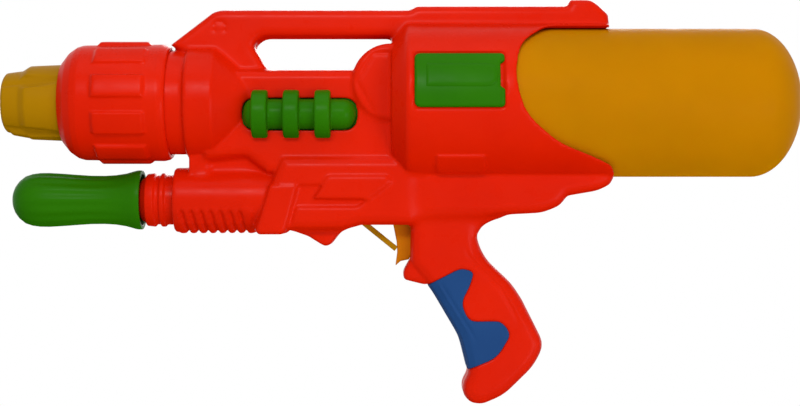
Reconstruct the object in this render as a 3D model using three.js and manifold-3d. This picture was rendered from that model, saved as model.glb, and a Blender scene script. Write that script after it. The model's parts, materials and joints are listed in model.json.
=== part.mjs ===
// A pump-action water squirter, about half a metre long, as it comes apart on a bench.
// Millimetres, +Z up. The origin is where the palm closes on the grip, the nozzle points
// to -X, and the two body shells meet on the plane Y = 0.
import * as THREE from 'three';
import { mergeVertices } from 'three/addons/utils/BufferGeometryUtils.js';
import Module from 'manifold-3d';

const wasm = await Module();
wasm.setup();

// Fits and walls
const gap = 0.3;
const seam = 0.3;
const wall = 2.4;
const cowlWall = 3;
const tankGap = 0.8;

// Where the main parts stand
const barrelHeight = 128;
const pumpDrop = 63;
const cowlSetback = 47;
const foreBodyLength = 142;
const neckLength = 11;
const collarLength = 70;
const nozzleReach = 38;

// Tank
const tankRadius = 48;
const tankReach = 206.7;
const tankDome = 31;
const tankWall = 2;
const tankShoulder = 20;
const tankShoulderStart = 8;
const tankNeckRadius = 15;
const tankNeckEnd = 31.6;
const gasketThickness = 2.8;
const pickupRadius = 2.8;
const pickupSetback = 21.7;

// Cowl round the tank and the slabs that make up the body
const cowlConeLength = 10.5;
const cowlFaceRadius = 40;
const barHalfWidth = 13;
const barRound = 4;
const barDepth = 17;
const windowHeight = 22;
const windowFloorRise = 20.2;
const railRise = 10;
const bumpRise = 4.2;
const bumpStart = 57.4;
const bumpLength = 24.6;
const midHalfWidth = 20;
const midRound = 5;
const lowerHalfWidth = 23.5;
const lowerRound = 6;
const keelHalfWidth = 22;
const keelRound = 5;
const keelDepth = 21;
const lipDepth = 7;
const lipReach = 84.6;
const discRadius = 25;
const discHalfWidth = 22.5;
const discSetback = 11;
const discRound = 3;
const discRim = 2.4;

// Nose, collar and nozzle
const neckRadius = 33.5;
const neckInsert = 14;
const flangeRadius = 36.8;
const flangeLength = 18;
const flangeTaper = 24;
const strutLength = 14;
const webHalfWidth = 11;
const collarRadius = 37.8;
const collarRibCount = 10;
const collarRibHeight = 1.8;
const collarRibWidth = 14.5;
const collarRibLength = 35;
const collarTurn = Math.PI / 36;
const nozzleRadius = 24.8;
const nozzleFrontRadius = 19.6;
const nozzleWall = 3;
const nozzleGrooveDepth = 1.6;
const nozzleGrooveRadius = 6;
const nozzleLobeWidth = 26;
const nozzleTurn = Math.PI / 15;
const spigotRadius = 6;
const jetRadius = 3;
const jetBore = 0.9;
const hoseRadius = 3.2;
const barbLength = 4;
const hoseBore = 2;
const barbBore = 0.9;

// Pump
const tubeRadius = 21;
const tubeOverhang = 9;
const padGrooveCount = 7;
const padGroovePitch = 6.2;
const endCapLength = 19;
const endCapRadius = 17;
const endCapNose = 4.5;
const handleLength = 84;
const handleNoseRadius = 17.4;
const handleWaistRadius = 15.8;
const handleRimRadius = 19.2;
const handleWall = 2.6;
const rodRadius = 5;
const cylinderRadius = 14.5;
const cylinderWall = 2;
const cylinderSetback = 35;
const tubeReach = 64;
const pistonLength = 12;

// Grip, trigger and valve
const gripHalfWidth = 17;
const gripRound = 6;
const guardHalfWidth = 13.5;
const gripWall = 3;
const throatInset = 1;
const throatRound = 2;
const inlayDepth = 1.7;
const inlayProud = 0.3;
const gripDrop = 66.4;
const gripRake = 40.8;
const throatDrop = 13.2;
const inlayReach = 67;
const triggerSetback = 48;
const triggerPivotDrop = 5;
const triggerHalfWidth = 4.2;
const triggerEye = 4.6;
const triggerDrop = 37.6;
const triggerPinRadius = 2;
const leafThickness = 2.9;
const leafHalfWidth = 3;
const valveDrop = 17;
const valveRadius = 7.5;
const valveLength = 24;
const plungerRadius = 2.5;
const plungerTravel = 4.4;
const feedRise = 65;
const feedLevel = 83;

// Inserts, panels and screws
const insertLead = 37;
const insertTail = 33;
const insertRodRadius = 9.4;
const insertFinRadius = 15.3;
const insertFinWidth = 10;
const insertEnds = 32;
const insertFinStart = 10.8;
const panelLength = 56;
const panelHeight = 35;
const panelRise = 11.5;
const panelFloor = 1.8;
const panelProud = 1.7;
const panelMargin = 20;
const bossRadius = 4;
const screwRadius = 1.45;
const screwHeadRadius = 2.9;
const screwHeadHeight = 2;
const screwSeat = 6;
const screwDepth = 9;

// Stations worked out from the sizes above
const axisZ = barrelHeight;
const pumpZ = axisZ - pumpDrop;
const cowlX = -cowlSetback;
const pickupEnd = tankReach - pickupSetback;
const cowlFaceX = cowlX - cowlConeLength;
const noseX = cowlX - foreBodyLength;
const insertLength = foreBodyLength - insertLead - insertTail;
const insertFinPitch = (insertLength - insertEnds) / 2;
const collarRearX = noseX - neckLength;
const collarFrontX = collarRearX - collarLength;
const nozzleFrontX = collarFrontX - nozzleReach;
const cowlInner = tankRadius + tankGap;
const cowlRadius = cowlInner + cowlWall;
const windowFloorZ = axisZ + windowFloorRise;
const windowTopZ = windowFloorZ + windowHeight;
const railZ = windowTopZ + barDepth;
const rearRailZ = axisZ + cowlRadius + railRise;
const bumpZ = rearRailZ + bumpRise;
const bumpEndX = bumpStart + bumpLength;
const keelZ = axisZ - cowlRadius - keelDepth;
const lipZ = axisZ - cowlRadius - lipDepth;
const throatHeight = keelZ - throatDrop;
const tubeFrontX = noseX - tubeOverhang;
const shelfZ = pumpZ + 28;
const floorZ = pumpZ - 16;
const neckFrontX = collarRearX - neckInsert;
const endCapFrontX = tubeFrontX - endCapLength;
const handleRearX = endCapFrontX - 2;
const handleFrontX = handleRearX - handleLength;
const cylinderFrontX = tubeFrontX + 2;
const cylinderRearX = cowlX - cylinderSetback;
const pistonX = cylinderRearX - cylinderWall - 1;
const triggerX = -triggerSetback;
const triggerPivotHeight = pumpZ - triggerPivotDrop;
const valveZ = triggerPivotHeight - valveDrop;
const plungerFrontX = triggerX + triggerEye + gap;
const valveFrontX = plungerFrontX + plungerTravel + 4;
const headFaceX = -tankNeckEnd - gasketThickness - 2 * gap;
const headBaseX = headFaceX - 3;

// Facets round a turned piece
const largeFacets = 28;
const midFacets = 16;
const smallFacets = 8;

// Mesh, solid and shape helpers
function solid(geometry) {
  const bare = geometry.index ? geometry.toNonIndexed() : geometry.clone();
  bare.deleteAttribute('normal');
  bare.deleteAttribute('uv');
  const merged = mergeVertices(bare, 1e-4);
  const at = merged.attributes.position.array;
  const index = merged.index.array;
  const triangles = [];
  let volume = 0;
  for (let i = 0; i < index.length; i += 3) {
    const [a, b, c] = [index[i], index[i + 1], index[i + 2]];
    if (a === b || b === c || a === c) continue;
    triangles.push(a, b, c);
    const [p, q, r] = [a, b, c].map((k) => new THREE.Vector3().fromArray(at, 3 * k));
    volume += p.dot(q.cross(r));
  }
  if (volume < 0) triangles.reverse();
  return new wasm.Manifold(new wasm.Mesh({
    numProp: 3,
    vertProperties: new Float32Array(at),
    triVerts: new Uint32Array(triangles),
  }));
}

function geometryOf(body) {
  const mesh = body.getMesh();
  const geometry = new THREE.BufferGeometry();
  geometry.setAttribute('position', new THREE.BufferAttribute(new Float32Array(mesh.vertProperties), 3));
  geometry.setIndex(new THREE.BufferAttribute(new Uint32Array(mesh.triVerts), 1));
  geometry.computeVertexNormals();
  return geometry;
}

const join = (...bodies) => bodies.reduce((sum, next) => sum.add(next));

// A closed outline in the X-Z plane. A corner's third number is how far from it its curve starts.
const flat = ([x, y]) => new THREE.Vector2(x, y);
const anticlockwise = (corners) => (
  THREE.ShapeUtils.isClockWise(corners.map(flat)) ? corners.toReversed() : corners
);
const neighbours = (corners, i) => [
  flat(corners[(i + corners.length - 1) % corners.length]),
  flat(corners[i]),
  flat(corners[(i + 1) % corners.length]),
];

function outline(corners, target = new THREE.Shape()) {
  const points = anticlockwise(corners);
  points.forEach((point, i) => {
    const [before, here, after] = neighbours(points, i);
    const room = 0.4 * Math.min(here.distanceTo(before), here.distanceTo(after));
    const reach = Math.min(point[2] ?? 0, room);
    const start = here.clone().add(before.sub(here).setLength(reach));
    const end = here.clone().add(after.sub(here).setLength(reach));
    if (i === 0) target.moveTo(start.x, start.y);
    else target.lineTo(start.x, start.y);
    if (reach > 0) target.quadraticCurveTo(here.x, here.y, end.x, end.y);
  });
  target.closePath();
  return target;
}

// The same corners drawn in by a distance, or let out by a negative one.
function inset(corners, distance) {
  const points = anticlockwise(corners);
  return points.map((point, i) => {
    const [before, here, after] = neighbours(points, i);
    const arriving = here.clone().sub(before).normalize();
    const leaving = after.clone().sub(here).normalize();
    const halfTurn = Math.atan2(arriving.cross(leaving), arriving.dot(leaving)) / 2;
    const slide = distance * Math.tan(halfTurn);
    const x = here.x - distance * arriving.y - slide * arriving.x;
    const y = here.y + distance * arriving.x - slide * arriving.y;
    return [x, y, point[2] ? Math.max(point[2] - slide, 0) : 0];
  });
}

function circle(x, z, radius) {
  return new THREE.Shape().absarc(x, z, radius, 0, 2 * Math.PI, false);
}

// An outline given thickness along Y, centred on the middle plane, with rounded edges.
function slab(corners, halfWidth, round = 0, hole = null, bevelSegments = 2, curveSegments = 3) {
  const shape = Array.isArray(corners) ? outline(corners) : corners;
  if (hole) shape.holes.push(outline(hole, new THREE.Path()));
  const geometry = new THREE.ExtrudeGeometry(shape, {
    depth: 2 * (halfWidth - round),
    bevelEnabled: round > 0,
    bevelThickness: round,
    bevelSize: round,
    bevelOffset: -round,
    bevelSegments,
    curveSegments,
  });
  geometry.rotateX(Math.PI / 2);
  geometry.translate(0, halfWidth - round, 0);
  return solid(geometry);
}

// The slab that lies a distance inside another one, or outside it where the distance is negative.
function within(corners, halfWidth, round, distance, hole = null) {
  const leastRound = 0.6;
  return slab(
    inset(corners, distance),
    halfWidth - distance,
    Math.max(round - distance, leastRound),
    hole && inset(hole, -distance),
    distance > 2 ? 1 : 2,
  );
}

// A body turned about an axis along X at height z; profile points are [x, radius].
function turnedGeometry(profile, z, segments = midFacets, y = 0) {
  const points = profile.map(([x, radius]) => new THREE.Vector2(radius, x));
  const geometry = new THREE.LatheGeometry(points, segments);
  geometry.rotateZ(-Math.PI / 2);
  geometry.translate(0, y, z);
  return geometry;
}
const turned = (profile, z, segments, y) => solid(turnedGeometry(profile, z, segments, y));

function rod(x0, x1, radius, z, segments = midFacets, y = 0) {
  return turned([[x0, 0], [x0, radius], [x1, radius], [x1, 0]], z, segments, y);
}

function ring(x0, x1, inner, outer, z, segments = midFacets) {
  return turned([[x0, inner], [x0, outer], [x1, outer], [x1, inner], [x0, inner]], z, segments);
}

function box(x0, x1, y0, y1, z0, z1) {
  const geometry = new THREE.BoxGeometry(x1 - x0, y1 - y0, z1 - z0);
  geometry.translate((x0 + x1) / 2, (y0 + y1) / 2, (z0 + z1) / 2);
  return solid(geometry);
}

// A round bar along Y or Z.
function bar(axis, x, other, low, high, radius, segments = smallFacets) {
  const geometry = new THREE.CylinderGeometry(radius, radius, high - low, segments);
  if (axis === 'y') geometry.translate(x, (low + high) / 2, other);
  else geometry.rotateX(Math.PI / 2).translate(x, other, (low + high) / 2);
  return solid(geometry);
}

function hose(points) {
  const path = new THREE.CatmullRomCurve3(points.map((p) => new THREE.Vector3(...p)));
  const section = circle(0, 0, hoseRadius);
  section.holes.push(new THREE.Path().absarc(0, 0, hoseBore, 0, 2 * Math.PI, true));
  const steps = Math.ceil(path.getLength() / (2.6 * hoseRadius));
  return new THREE.ExtrudeGeometry(section, { steps, extrudePath: path, curveSegments: 3 });
}

// An elliptical dome as profile points, from its rim to the axis or to a smaller radius.
function dome(rimX, depth, radius, endRadius, count) {
  const last = Math.acos(endRadius / radius);
  return Array.from({ length: count }, (_, i) => {
    const angle = (last * (i + 1)) / count;
    return [rimX + depth * Math.sin(angle), radius * Math.cos(angle)];
  });
}

function oRing(x, middle, thickness, z) {
  const points = Array.from({ length: 7 }, (_, i) => {
    const angle = Math.PI / 6 - (i * Math.PI) / 3;
    return [x + (thickness / 2) * Math.cos(angle), middle + (thickness / 2) * Math.sin(angle)];
  });
  return turnedGeometry(points, z);
}

// Finishes
const finish = (color, roughness, metalness = 0) => ({ color, roughness, metalness });
const shellRed = finish('#dc2306', 0.32);
const green = finish('#2d7a08', 0.35);
const tankAmber = finish('#d08a04', 0.28);
const nozzleYellow = finish('#b98a08', 0.3);
const gripBlue = finish('#234f8c', 0.5);
const whitePlastic = finish('#e6e4dd', 0.45);
const rubber = finish('#1d1d1e', 0.7);
const clearHose = finish('#d3d8d4', 0.3);
const steel = finish('#b8bbbf', 0.35, 1);

const squirter = new THREE.Group();
function add(name, shape, look) {
  const geometry = shape.isBufferGeometry ? shape : geometryOf(shape);
  const mesh = new THREE.Mesh(geometry, new THREE.MeshStandardMaterial(look));
  mesh.name = name;
  squirter.add(mesh);
}

// Outlines of the body
const frameOutline = [
  [collarRearX + gap, axisZ + collarRadius - 1],
  [noseX + 17, railZ - 1.2, 4],
  [noseX + 22, railZ],
  [cowlX + 0.8, railZ],
  [cowlX + 6, rearRailZ],
  [bumpStart - 1.5, rearRailZ],
  [bumpStart, bumpZ],
  [bumpStart + 14.2, bumpZ, 4],
  [bumpEndX, bumpZ - 9.5],
  [bumpEndX + 1, axisZ + tankRadius],
  [bumpEndX + 1, axisZ + tankRadius - 8],
  [cowlX + cowlConeLength, axisZ + tankRadius - 8],
  [cowlX, windowFloorZ - 20],
  [noseX, windowFloorZ - 20],
  [noseX, axisZ + neckRadius - 4],
];
const windowLeftX = noseX + 42.2;
const windowRightX = cowlX - 10;
const windowOutline = [
  [windowLeftX, windowTopZ - 5.9, 3],
  [windowLeftX + 6.4, windowTopZ, 4],
  [windowRightX, windowTopZ, 3],
  [windowRightX, windowFloorZ - 3],
  [windowLeftX + 12, windowFloorZ - 3],
];

const midOutline = [
  [noseX + 11, shelfZ - 3],
  [noseX + 11, windowFloorZ],
  [windowLeftX + 8, windowFloorZ],
  [cowlX + 7, windowFloorZ],
  [cowlX + 7, shelfZ - 11],
  [noseX + 52, shelfZ - 11],
  [noseX + 38, shelfZ],
];
const discX = cowlX - discSetback;
const discZ = windowFloorZ - 8.4;

const lowerOutline = [
  [noseX + 43, floorZ - 3],
  [noseX + 61, shelfZ],
  [cowlX + 7, shelfZ],
  [cowlX + 7, floorZ],
  [cowlX - 31, floorZ],
  [cowlX - 42, floorZ - 3],
];
const chinX = cowlX - 52.5;
const chinOutline = [
  [chinX - 25.5, floorZ - 3],
  [chinX - 19.5, floorZ - 4.6],
  [chinX - 11.5, floorZ - 7.4],
  [chinX - 4.2, floorZ - 12],
  [chinX - 0.5, floorZ - 14, 1.5],
  [chinX + 3, floorZ - 12.6, 1.5],
  [chinX + 9, floorZ - 4.8, 2],
  [chinX + 14.3, floorZ - 2.4],
  [chinX + 23, floorZ],
  [chinX + 23, floorZ + 12],
  [chinX - 25.5, floorZ + 12],
];
const housingOutline = [
  [triggerX - 12, floorZ],
  [triggerX + 60, keelZ],
  [triggerX + 60, shelfZ],
  [triggerX - 12, shelfZ],
];
const keelTailX = lipReach - 29.6;
const keelOutline = [
  [cowlX, keelZ - 3],
  [keelTailX - 56, keelZ - 2],
  [keelTailX - 45, keelZ],
  [keelTailX - 16, keelZ + 1.6, 4],
  [keelTailX - 5, keelZ + 6, 4],
  [keelTailX, lipZ - 1.6],
  [lipReach - 9.9, lipZ + 1.8, 5],
  [lipReach - 1.5, lipZ + 6.1, 3],
  [lipReach, lipZ + 13.1],
  [lipReach - 4.4, lipZ + 20.3],
  [cowlX, lipZ + 20.3],
];

// The grip leans back below the palm; its outline hangs from its drop, rake and throat
const gripTopZ = keelZ + 5;
const gripOutline = [
  [triggerX + 3, gripTopZ],
  [triggerX + 2.5, throatHeight - 18, 3],
  [triggerX + 16, throatHeight - 34, 5],
  [gripRake - 54.5, -23.1, 6],
  [gripRake - 48.8, 20.4 - gripDrop, 2],
  [gripRake - 52.6, 13.5 - gripDrop, 3],
  [gripRake - 52.3, 6.5 - gripDrop, 3],
  [gripRake - 47.5, 1 - gripDrop, 3],
  [gripRake - 40, -gripDrop, 4],
  [gripRake - 26, 6 - gripDrop, 6],
  [gripRake - 7, 24.5 - gripDrop, 6],
  [gripRake, 38.4 - gripDrop, 7],
  [gripRake - 14.3, 0.8],
  [gripRake - 21, 11.2, 5],
  [gripRake - 38.2, throatHeight - 14.5, 6],
  [gripRake - 44.4, throatHeight, 7],
  [gripRake - 37, gripTopZ],
];
const throatOutline = [
  [gripRake - 50, gripTopZ],
  [gripRake - 50, throatHeight - 2],
  [gripRake - 44.2, throatHeight - 1, 2],
  [gripRake - 40.2, throatHeight + 6.3, 3],
  [gripRake - 33.2, throatHeight + 10, 3],
  [gripRake - 26, throatHeight + 11.8],
  [gripRake - 26, gripTopZ],
];
const guardOutline = [
  [triggerX + 5, throatHeight - 14],
  [triggerX + 1.5, throatHeight - 16.5],
  [triggerX - 2.3, throatHeight - 23.5, 2],
  [triggerX - 1.5, throatHeight - 28.2, 2],
  [triggerX + 12, throatHeight - 31.5],
  [triggerX + 18, throatHeight - 28],
  [triggerX + 18, throatHeight - 14],
];
const inlayOutline = [
  [triggerX + 8, 7],
  [triggerX + 19, 13.2],
  [triggerX + 35, 21.3, 5],
  [triggerX + 43.5, 19, 4],
  [triggerX + 40.5, 9.5, 4],
  [triggerX + 35, -1, 5],
  [triggerX + 40, -13, 6],
  [triggerX + inlayReach - 6, -12.6, 6],
  [triggerX + inlayReach, -21, 6],
  [triggerX + inlayReach - 9, -36, 6],
  [triggerX + 40, -43.5],
  [triggerX + 20, -43.5],
];
const inlayPrism = (grow) => slab(inset(inlayOutline, -grow), gripHalfWidth + 10);

// Turned parts of the body
const noseProfile = [
  [neckFrontX, 0],
  [neckFrontX, neckRadius],
  [noseX, neckRadius],
  [noseX, flangeRadius - 1],
  [noseX + 1, flangeRadius],
  [noseX + flangeLength, flangeRadius],
  [noseX + flangeLength + flangeTaper, midHalfWidth - 1],
  [noseX + flangeLength + flangeTaper + 12, midHalfWidth - 4],
  [noseX + flangeLength + flangeTaper + 12, 0],
];
const noseHollow = [
  [neckFrontX + wall, 0],
  [neckFrontX + wall, neckRadius - wall],
  [noseX + flangeLength - 2, neckRadius - wall],
  [noseX + flangeLength + flangeTaper, midHalfWidth - 2 * wall],
  [noseX + flangeLength + flangeTaper, 0],
];
const cowlProfile = [
  [cowlFaceX, 0],
  [cowlFaceX, cowlFaceRadius],
  [cowlX - 1, cowlRadius - 0.8],
  [cowlX + 1, cowlRadius],
  [lipReach, cowlRadius],
  [lipReach, 0],
];
const cowlHollow = [
  [cowlFaceX + wall, 0],
  [cowlFaceX + wall, cowlFaceRadius - wall],
  [cowlX + wall, cowlInner],
  [lipReach + 10, cowlInner],
  [lipReach + 10, 0],
];
// The cowl is cut away in a sweeping curve that shows the tank between two arms
const cowlSide = [
  [cowlFaceX - 1, axisZ + cowlRadius + 1],
  [bumpEndX, axisZ + cowlRadius + 1],
  [bumpEndX, axisZ + tankRadius],
  [bumpStart - 16, axisZ + tankRadius, 6],
  [bumpStart - 34, axisZ + 36, 10],
  [bumpStart - 38, axisZ + 14, 12],
  [bumpStart - 32, axisZ - 9, 10],
  [bumpStart - 11.4, axisZ - 27, 12],
  [lipReach - 14.6, axisZ - 36, 8],
  [lipReach - 2.5, axisZ - 41.5, 4],
  [lipReach, axisZ - 47],
  [lipReach, axisZ - cowlRadius - 1],
  [cowlFaceX - 1, axisZ - cowlRadius - 1],
];
const tubeProfile = [
  [tubeFrontX, 0],
  [tubeFrontX, tubeRadius - 1],
  [tubeFrontX + 1, tubeRadius],
  [noseX + tubeReach, tubeRadius],
  [noseX + tubeReach, 0],
];
const tubeHollow = [
  [tubeFrontX - 1, 0],
  [tubeFrontX - 1, tubeRadius - wall],
  [noseX + tubeReach - 2, tubeRadius - wall],
  [noseX + tubeReach - 2, 0],
];
const strut = box(noseX + 1.5, noseX + strutLength, -14, 14, pumpZ + 10, axisZ - 20);
const webOutline = [
  [noseX + strutLength - 4, pumpZ + 8],
  [noseX + strutLength - 4, axisZ - 24],
  [noseX + tubeReach - 4, axisZ - 24],
  [noseX + tubeReach - 4, pumpZ + 8],
];

// Raised and sunk relief on the sides
const flankRise = 1.5;
const flankSink = 1.7;
const barProud = 0.9;
const barDip = 3;
const flankSlope = 7.6 / 29;
const flankSetback = 70;
const flankX = cowlX - flankSetback;
const barBase = floorZ - barDip;
const barEdge = (z) => flankX - 7.5 + (z - barBase) * flankSlope;
const flankBar = [
  [flankX - 27, barBase - 1.2],
  [flankX - 25, barBase - barDip],
  [barEdge(barBase - barDip) - 2, barBase - barDip],
  [barEdge(barBase - 1), barBase - 1],
  [barEdge(pumpZ + 10), pumpZ + 10],
  [barEdge(pumpZ + 10) - 18, pumpZ + 10],
];
const grooveWidth = 3.2;
const flankGroove = [
  [barEdge(barBase - 6), barBase - 6],
  [barEdge(barBase - 6) + grooveWidth, barBase - 6],
  [barEdge(pumpZ + 10) + grooveWidth, pumpZ + 10],
  [barEdge(pumpZ + 10), pumpZ + 10],
];
const flankPlate = [
  [flankX + 10.4, pumpZ + 0.9],
  [flankX + 19.4, pumpZ + 14.7],
  [flankX + 57, pumpZ + 14.7],
  [flankX + 58.7, pumpZ + 11.3],
  [flankX + 45, pumpZ + 0.4],
];
// The sunk strip in front of the plate and below it
const flankRecess = [
  [barEdge(pumpZ - 5), pumpZ - 5],
  [barEdge(pumpZ + 10), pumpZ + 10],
  [flankX + 16.4, pumpZ + 10],
  [flankX + 10.4, pumpZ + 0.9],
  [flankX + 45, pumpZ + 0.4],
  [flankX + 38, pumpZ - 5],
];
// A pad under the pump's tube, with grooves for the other hand
const padProud = 0.8;
const padDepth = 2;
const padLean = 2.5;
const padX = tubeFrontX + 4;
const padEndX = padX + padGrooveCount * padGroovePitch + 4;
const padRise = ring(padX, padEndX, tubeRadius - 1, tubeRadius + padProud, pumpZ)
  .intersect(box(padX - 5, cowlX, -30, 30, pumpZ - 30, pumpZ - 5));
const latchPad = slab([
  [cowlX + 18, axisZ - 46],
  [cowlX + 18, axisZ - 35.5],
  [cowlX + 48, axisZ - 35.5],
  [cowlX + 48, axisZ - 46],
], cowlRadius);
const latchProud = 1.6;
const bossMarkX = noseX + 21;
const bossMarkZ = railZ - 11.3;

function bodyOuter() {
  const cowl = turned(cowlProfile, axisZ, largeFacets).intersect(slab(cowlSide, cowlRadius + 5));
  const padRing = ring(cowlX + 16, cowlX + 50, cowlRadius - 1, cowlRadius + latchProud, axisZ, largeFacets);
  let outer = join(
    slab(frameOutline, barHalfWidth, barRound, windowOutline),
    slab(midOutline, midHalfWidth, midRound),
    slab(circle(discX, discZ, discRadius), discHalfWidth, discRound, null, 2, 10),
    slab(lowerOutline, lowerHalfWidth, lowerRound),
    slab(chinOutline, 12, 2),
    slab(housingOutline, midHalfWidth, midRound),
    slab(keelOutline, keelHalfWidth, keelRound),
    slab(gripOutline, gripHalfWidth, gripRound),
    slab(throatOutline, gripHalfWidth - throatInset, throatRound),
    slab(guardOutline, guardHalfWidth, 2.5),
    turned(noseProfile, axisZ, largeFacets),
    turned(tubeProfile, pumpZ, midFacets),
    cowl,
    padRing.intersect(latchPad),
    strut,
    slab(webOutline, webHalfWidth, 1.5),
    slab(flankBar, lowerHalfWidth + barProud, 2),
    slab(flankPlate, lowerHalfWidth + flankRise),
    padRise,
  );
  for (const sunk of [flankGroove, flankRecess]) {
    const core = slab(inset(sunk, -1), lowerHalfWidth - flankSink);
    outer = outer.subtract(slab(sunk, lowerHalfWidth + 5).subtract(core));
  }
  const padShell = ring(tubeFrontX - 2, noseX + 60, tubeRadius + padProud - padDepth, tubeRadius + 5, pumpZ);
  for (let i = 0; i < padGrooveCount; i += 1) {
    const x = padX + 3 + i * padGroovePitch;
    const cut = slab([
      [x + padLean, pumpZ - 30],
      [x + padLean + 3, pumpZ - 30],
      [x - padLean + 3, pumpZ - 6],
      [x - padLean, pumpZ - 6],
    ], 30);
    outer = outer.subtract(padShell.intersect(cut));
  }
  const mark = slab(circle(bossMarkX, bossMarkZ, 5), barHalfWidth + 5)
    .subtract(slab(circle(bossMarkX, bossMarkZ, 3.2), barHalfWidth + 6))
    .subtract(slab(circle(bossMarkX, bossMarkZ, 8), barHalfWidth - 1.6));
  const rim = slab(circle(discX, discZ, discRadius - discRim), discHalfWidth + 5)
    .subtract(slab(circle(discX, discZ, discRadius - discRim - 2.2), discHalfWidth + 6))
    .subtract(slab(circle(discX, discZ, discRadius), discHalfWidth - 1.2))
    .subtract(rod(cowlFaceX, lipReach, cowlRadius, axisZ, largeFacets));
  return outer.subtract(mark).subtract(rim);
}

function bodyHollow() {
  return join(
    within(frameOutline, barHalfWidth, barRound, wall, windowOutline),
    within(midOutline, midHalfWidth, midRound, wall),
    slab(circle(discX, discZ, discRadius - wall), discHalfWidth - wall, discRound - wall, null, 1, 6),
    within(lowerOutline, lowerHalfWidth, lowerRound, wall + 0.6),
    within(housingOutline, midHalfWidth, midRound, wall),
    within(keelOutline, keelHalfWidth, keelRound, wall),
    within(gripOutline, gripHalfWidth, gripRound, gripWall),
    turned(noseHollow, axisZ, largeFacets),
    turned(cowlHollow, axisZ, largeFacets),
    turned(tubeHollow, pumpZ, midFacets),
    within(webOutline, webHalfWidth, 1.5, wall),
  );
}

// Screw posts, named for their place
const screwPosts = {
  nose_top: [bossMarkX, bossMarkZ],
  rear_top: [bumpStart + 11, rearRailZ - 4],
  keel_tail: [lipReach - 21, lipZ + 5.5],
  housing: [triggerX + 62, keelZ + 11],
  chin: [chinX, floorZ - 5],
  mid_front: [noseX + 30, axisZ - 24],
  mid_rear: [discX - 8, discZ - 4],
  grip: [gripRake - 34, 8],
  butt: [gripRake - 36, 11 - gripDrop],
};

const cylinderHold = rod(cylinderFrontX - 5, cylinderRearX + 2, cylinderRadius + gap, pumpZ, midFacets);
const leafTopX = triggerX - 33;
const leafTopZ = floorZ + 5.5;
const leafFootX = triggerX - 3;
const leafFootZ = triggerPivotHeight - 29;
const leafRun = new THREE.Vector2(leafFootX - leafTopX, leafFootZ - leafTopZ).normalize();
const leafSide = new THREE.Vector2(-leafRun.y, leafRun.x).multiplyScalar(leafThickness / 2);
const leafOutline = [
  [leafTopX - leafSide.x, leafTopZ - leafSide.y],
  [leafFootX - leafSide.x, leafFootZ - leafSide.y],
  [leafFootX + leafSide.x, leafFootZ + leafSide.y],
  [leafTopX + leafSide.x, leafTopZ + leafSide.y],
];
const triggerTipZ = triggerPivotHeight - triggerDrop;
const triggerOutline = [
  [triggerX - triggerEye - 1, triggerPivotHeight + 1, 2],
  [triggerX - 8.4, triggerPivotHeight - 11],
  [triggerX - 6.2, triggerPivotHeight - 22],
  [triggerX - 5.8, triggerTipZ + 9],
  [triggerX - 7, triggerTipZ],
  [triggerX - 3.6, triggerTipZ + 3],
  [triggerX + 1.6, triggerTipZ + 4],
  [triggerX + triggerEye, triggerTipZ + 10],
  [triggerX + triggerEye, triggerPivotHeight + triggerEye, 3],
  [triggerX - triggerEye, triggerPivotHeight + triggerEye, 3],
];

function bodyShell() {
  const outer = bodyOuter();
  let shell = outer.subtract(bodyHollow());

  // Ribs that carry what lies inside
  const saddles = join(
    box(tubeFrontX + 22, tubeFrontX + 24, -30, 30, pumpZ - 25, pumpZ + 22),
    box(cylinderRearX - 18, cylinderRearX - 16, -30, 30, pumpZ - 25, pumpZ + 22),
  ).subtract(cylinderHold);
  const valveSeats = join(
    box(valveFrontX + 3, valveFrontX + 5, -30, 30, valveZ - 11, valveZ + 5),
    box(valveFrontX + valveLength - 5, valveFrontX + valveLength - 3, -30, 30, valveZ - 11, valveZ + 5),
  ).subtract(rod(valveFrontX - 1, valveFrontX + valveLength + 1, valveRadius + gap, valveZ));
  const headRing = (x) => ring(x, x + wall, cowlInner - 3.5, cowlInner + 0.5, axisZ, largeFacets);
  const headRings = join(headRing(headBaseX - gap - wall), headRing(headFaceX + gap));
  const pivotBoss = bar('y', triggerX, triggerPivotHeight, -30, 30, 5);
  const posts = Object.values(screwPosts).map(([x, z]) => bar('y', x, z, -40, 40, bossRadius));
  shell = join(shell, join(saddles, valveSeats, pivotBoss, ...posts).intersect(outer), headRings);

  // Openings and seats
  const triggerRoom = box(
    triggerX - 11, triggerX + 14,
    -triggerHalfWidth - gap, triggerHalfWidth + gap,
    triggerTipZ - 2.5, triggerPivotHeight + 9,
  );
  const pinHole = bar('y', triggerX, triggerPivotHeight, -14 - gap, 14 + gap, triggerPinRadius + gap);
  const panelReach = [cowlX - panelMargin, cowlX + panelLength + panelMargin];
  const panelCut = ring(...panelReach, cowlRadius - panelFloor, cowlRadius + panelMargin, axisZ, largeFacets)
    .intersect(slab(panelOutline(gap), cowlRadius + 20));
  const inlayFloor = within(gripOutline, gripHalfWidth, gripRound, inlayDepth + gap);
  const spigotHole = rod(neckFrontX - 1, neckFrontX + wall + 1, spigotRadius + gap, axisZ);
  shell = shell
    .subtract(rod(cowlX + cowlConeLength, lipReach + 20, cowlInner, axisZ, largeFacets))
    .subtract(triggerRoom)
    .subtract(pinHole)
    .subtract(slab(inset(leafOutline, -gap), leafHalfWidth + gap))
    .subtract(panelCut)
    .subtract(inlayPrism(gap).subtract(inlayFloor))
    .subtract(spigotHole)
    .subtract(insertSlot)
    .subtract(cylinderHold)
    .subtract(rod(tubeFrontX - 1, tubeFrontX + 6, tubeRadius - wall, pumpZ, midFacets));
  shell = join(shell, headRings);
  for (const [x, z] of Object.values(screwPosts)) {
    shell = shell
      .subtract(bar('y', x, z, -screwDepth - 2, screwSeat + 1, screwRadius + gap))
      .subtract(bar('y', x, z, screwSeat, 60, screwHeadRadius + gap));
  }
  return shell;
}

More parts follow.
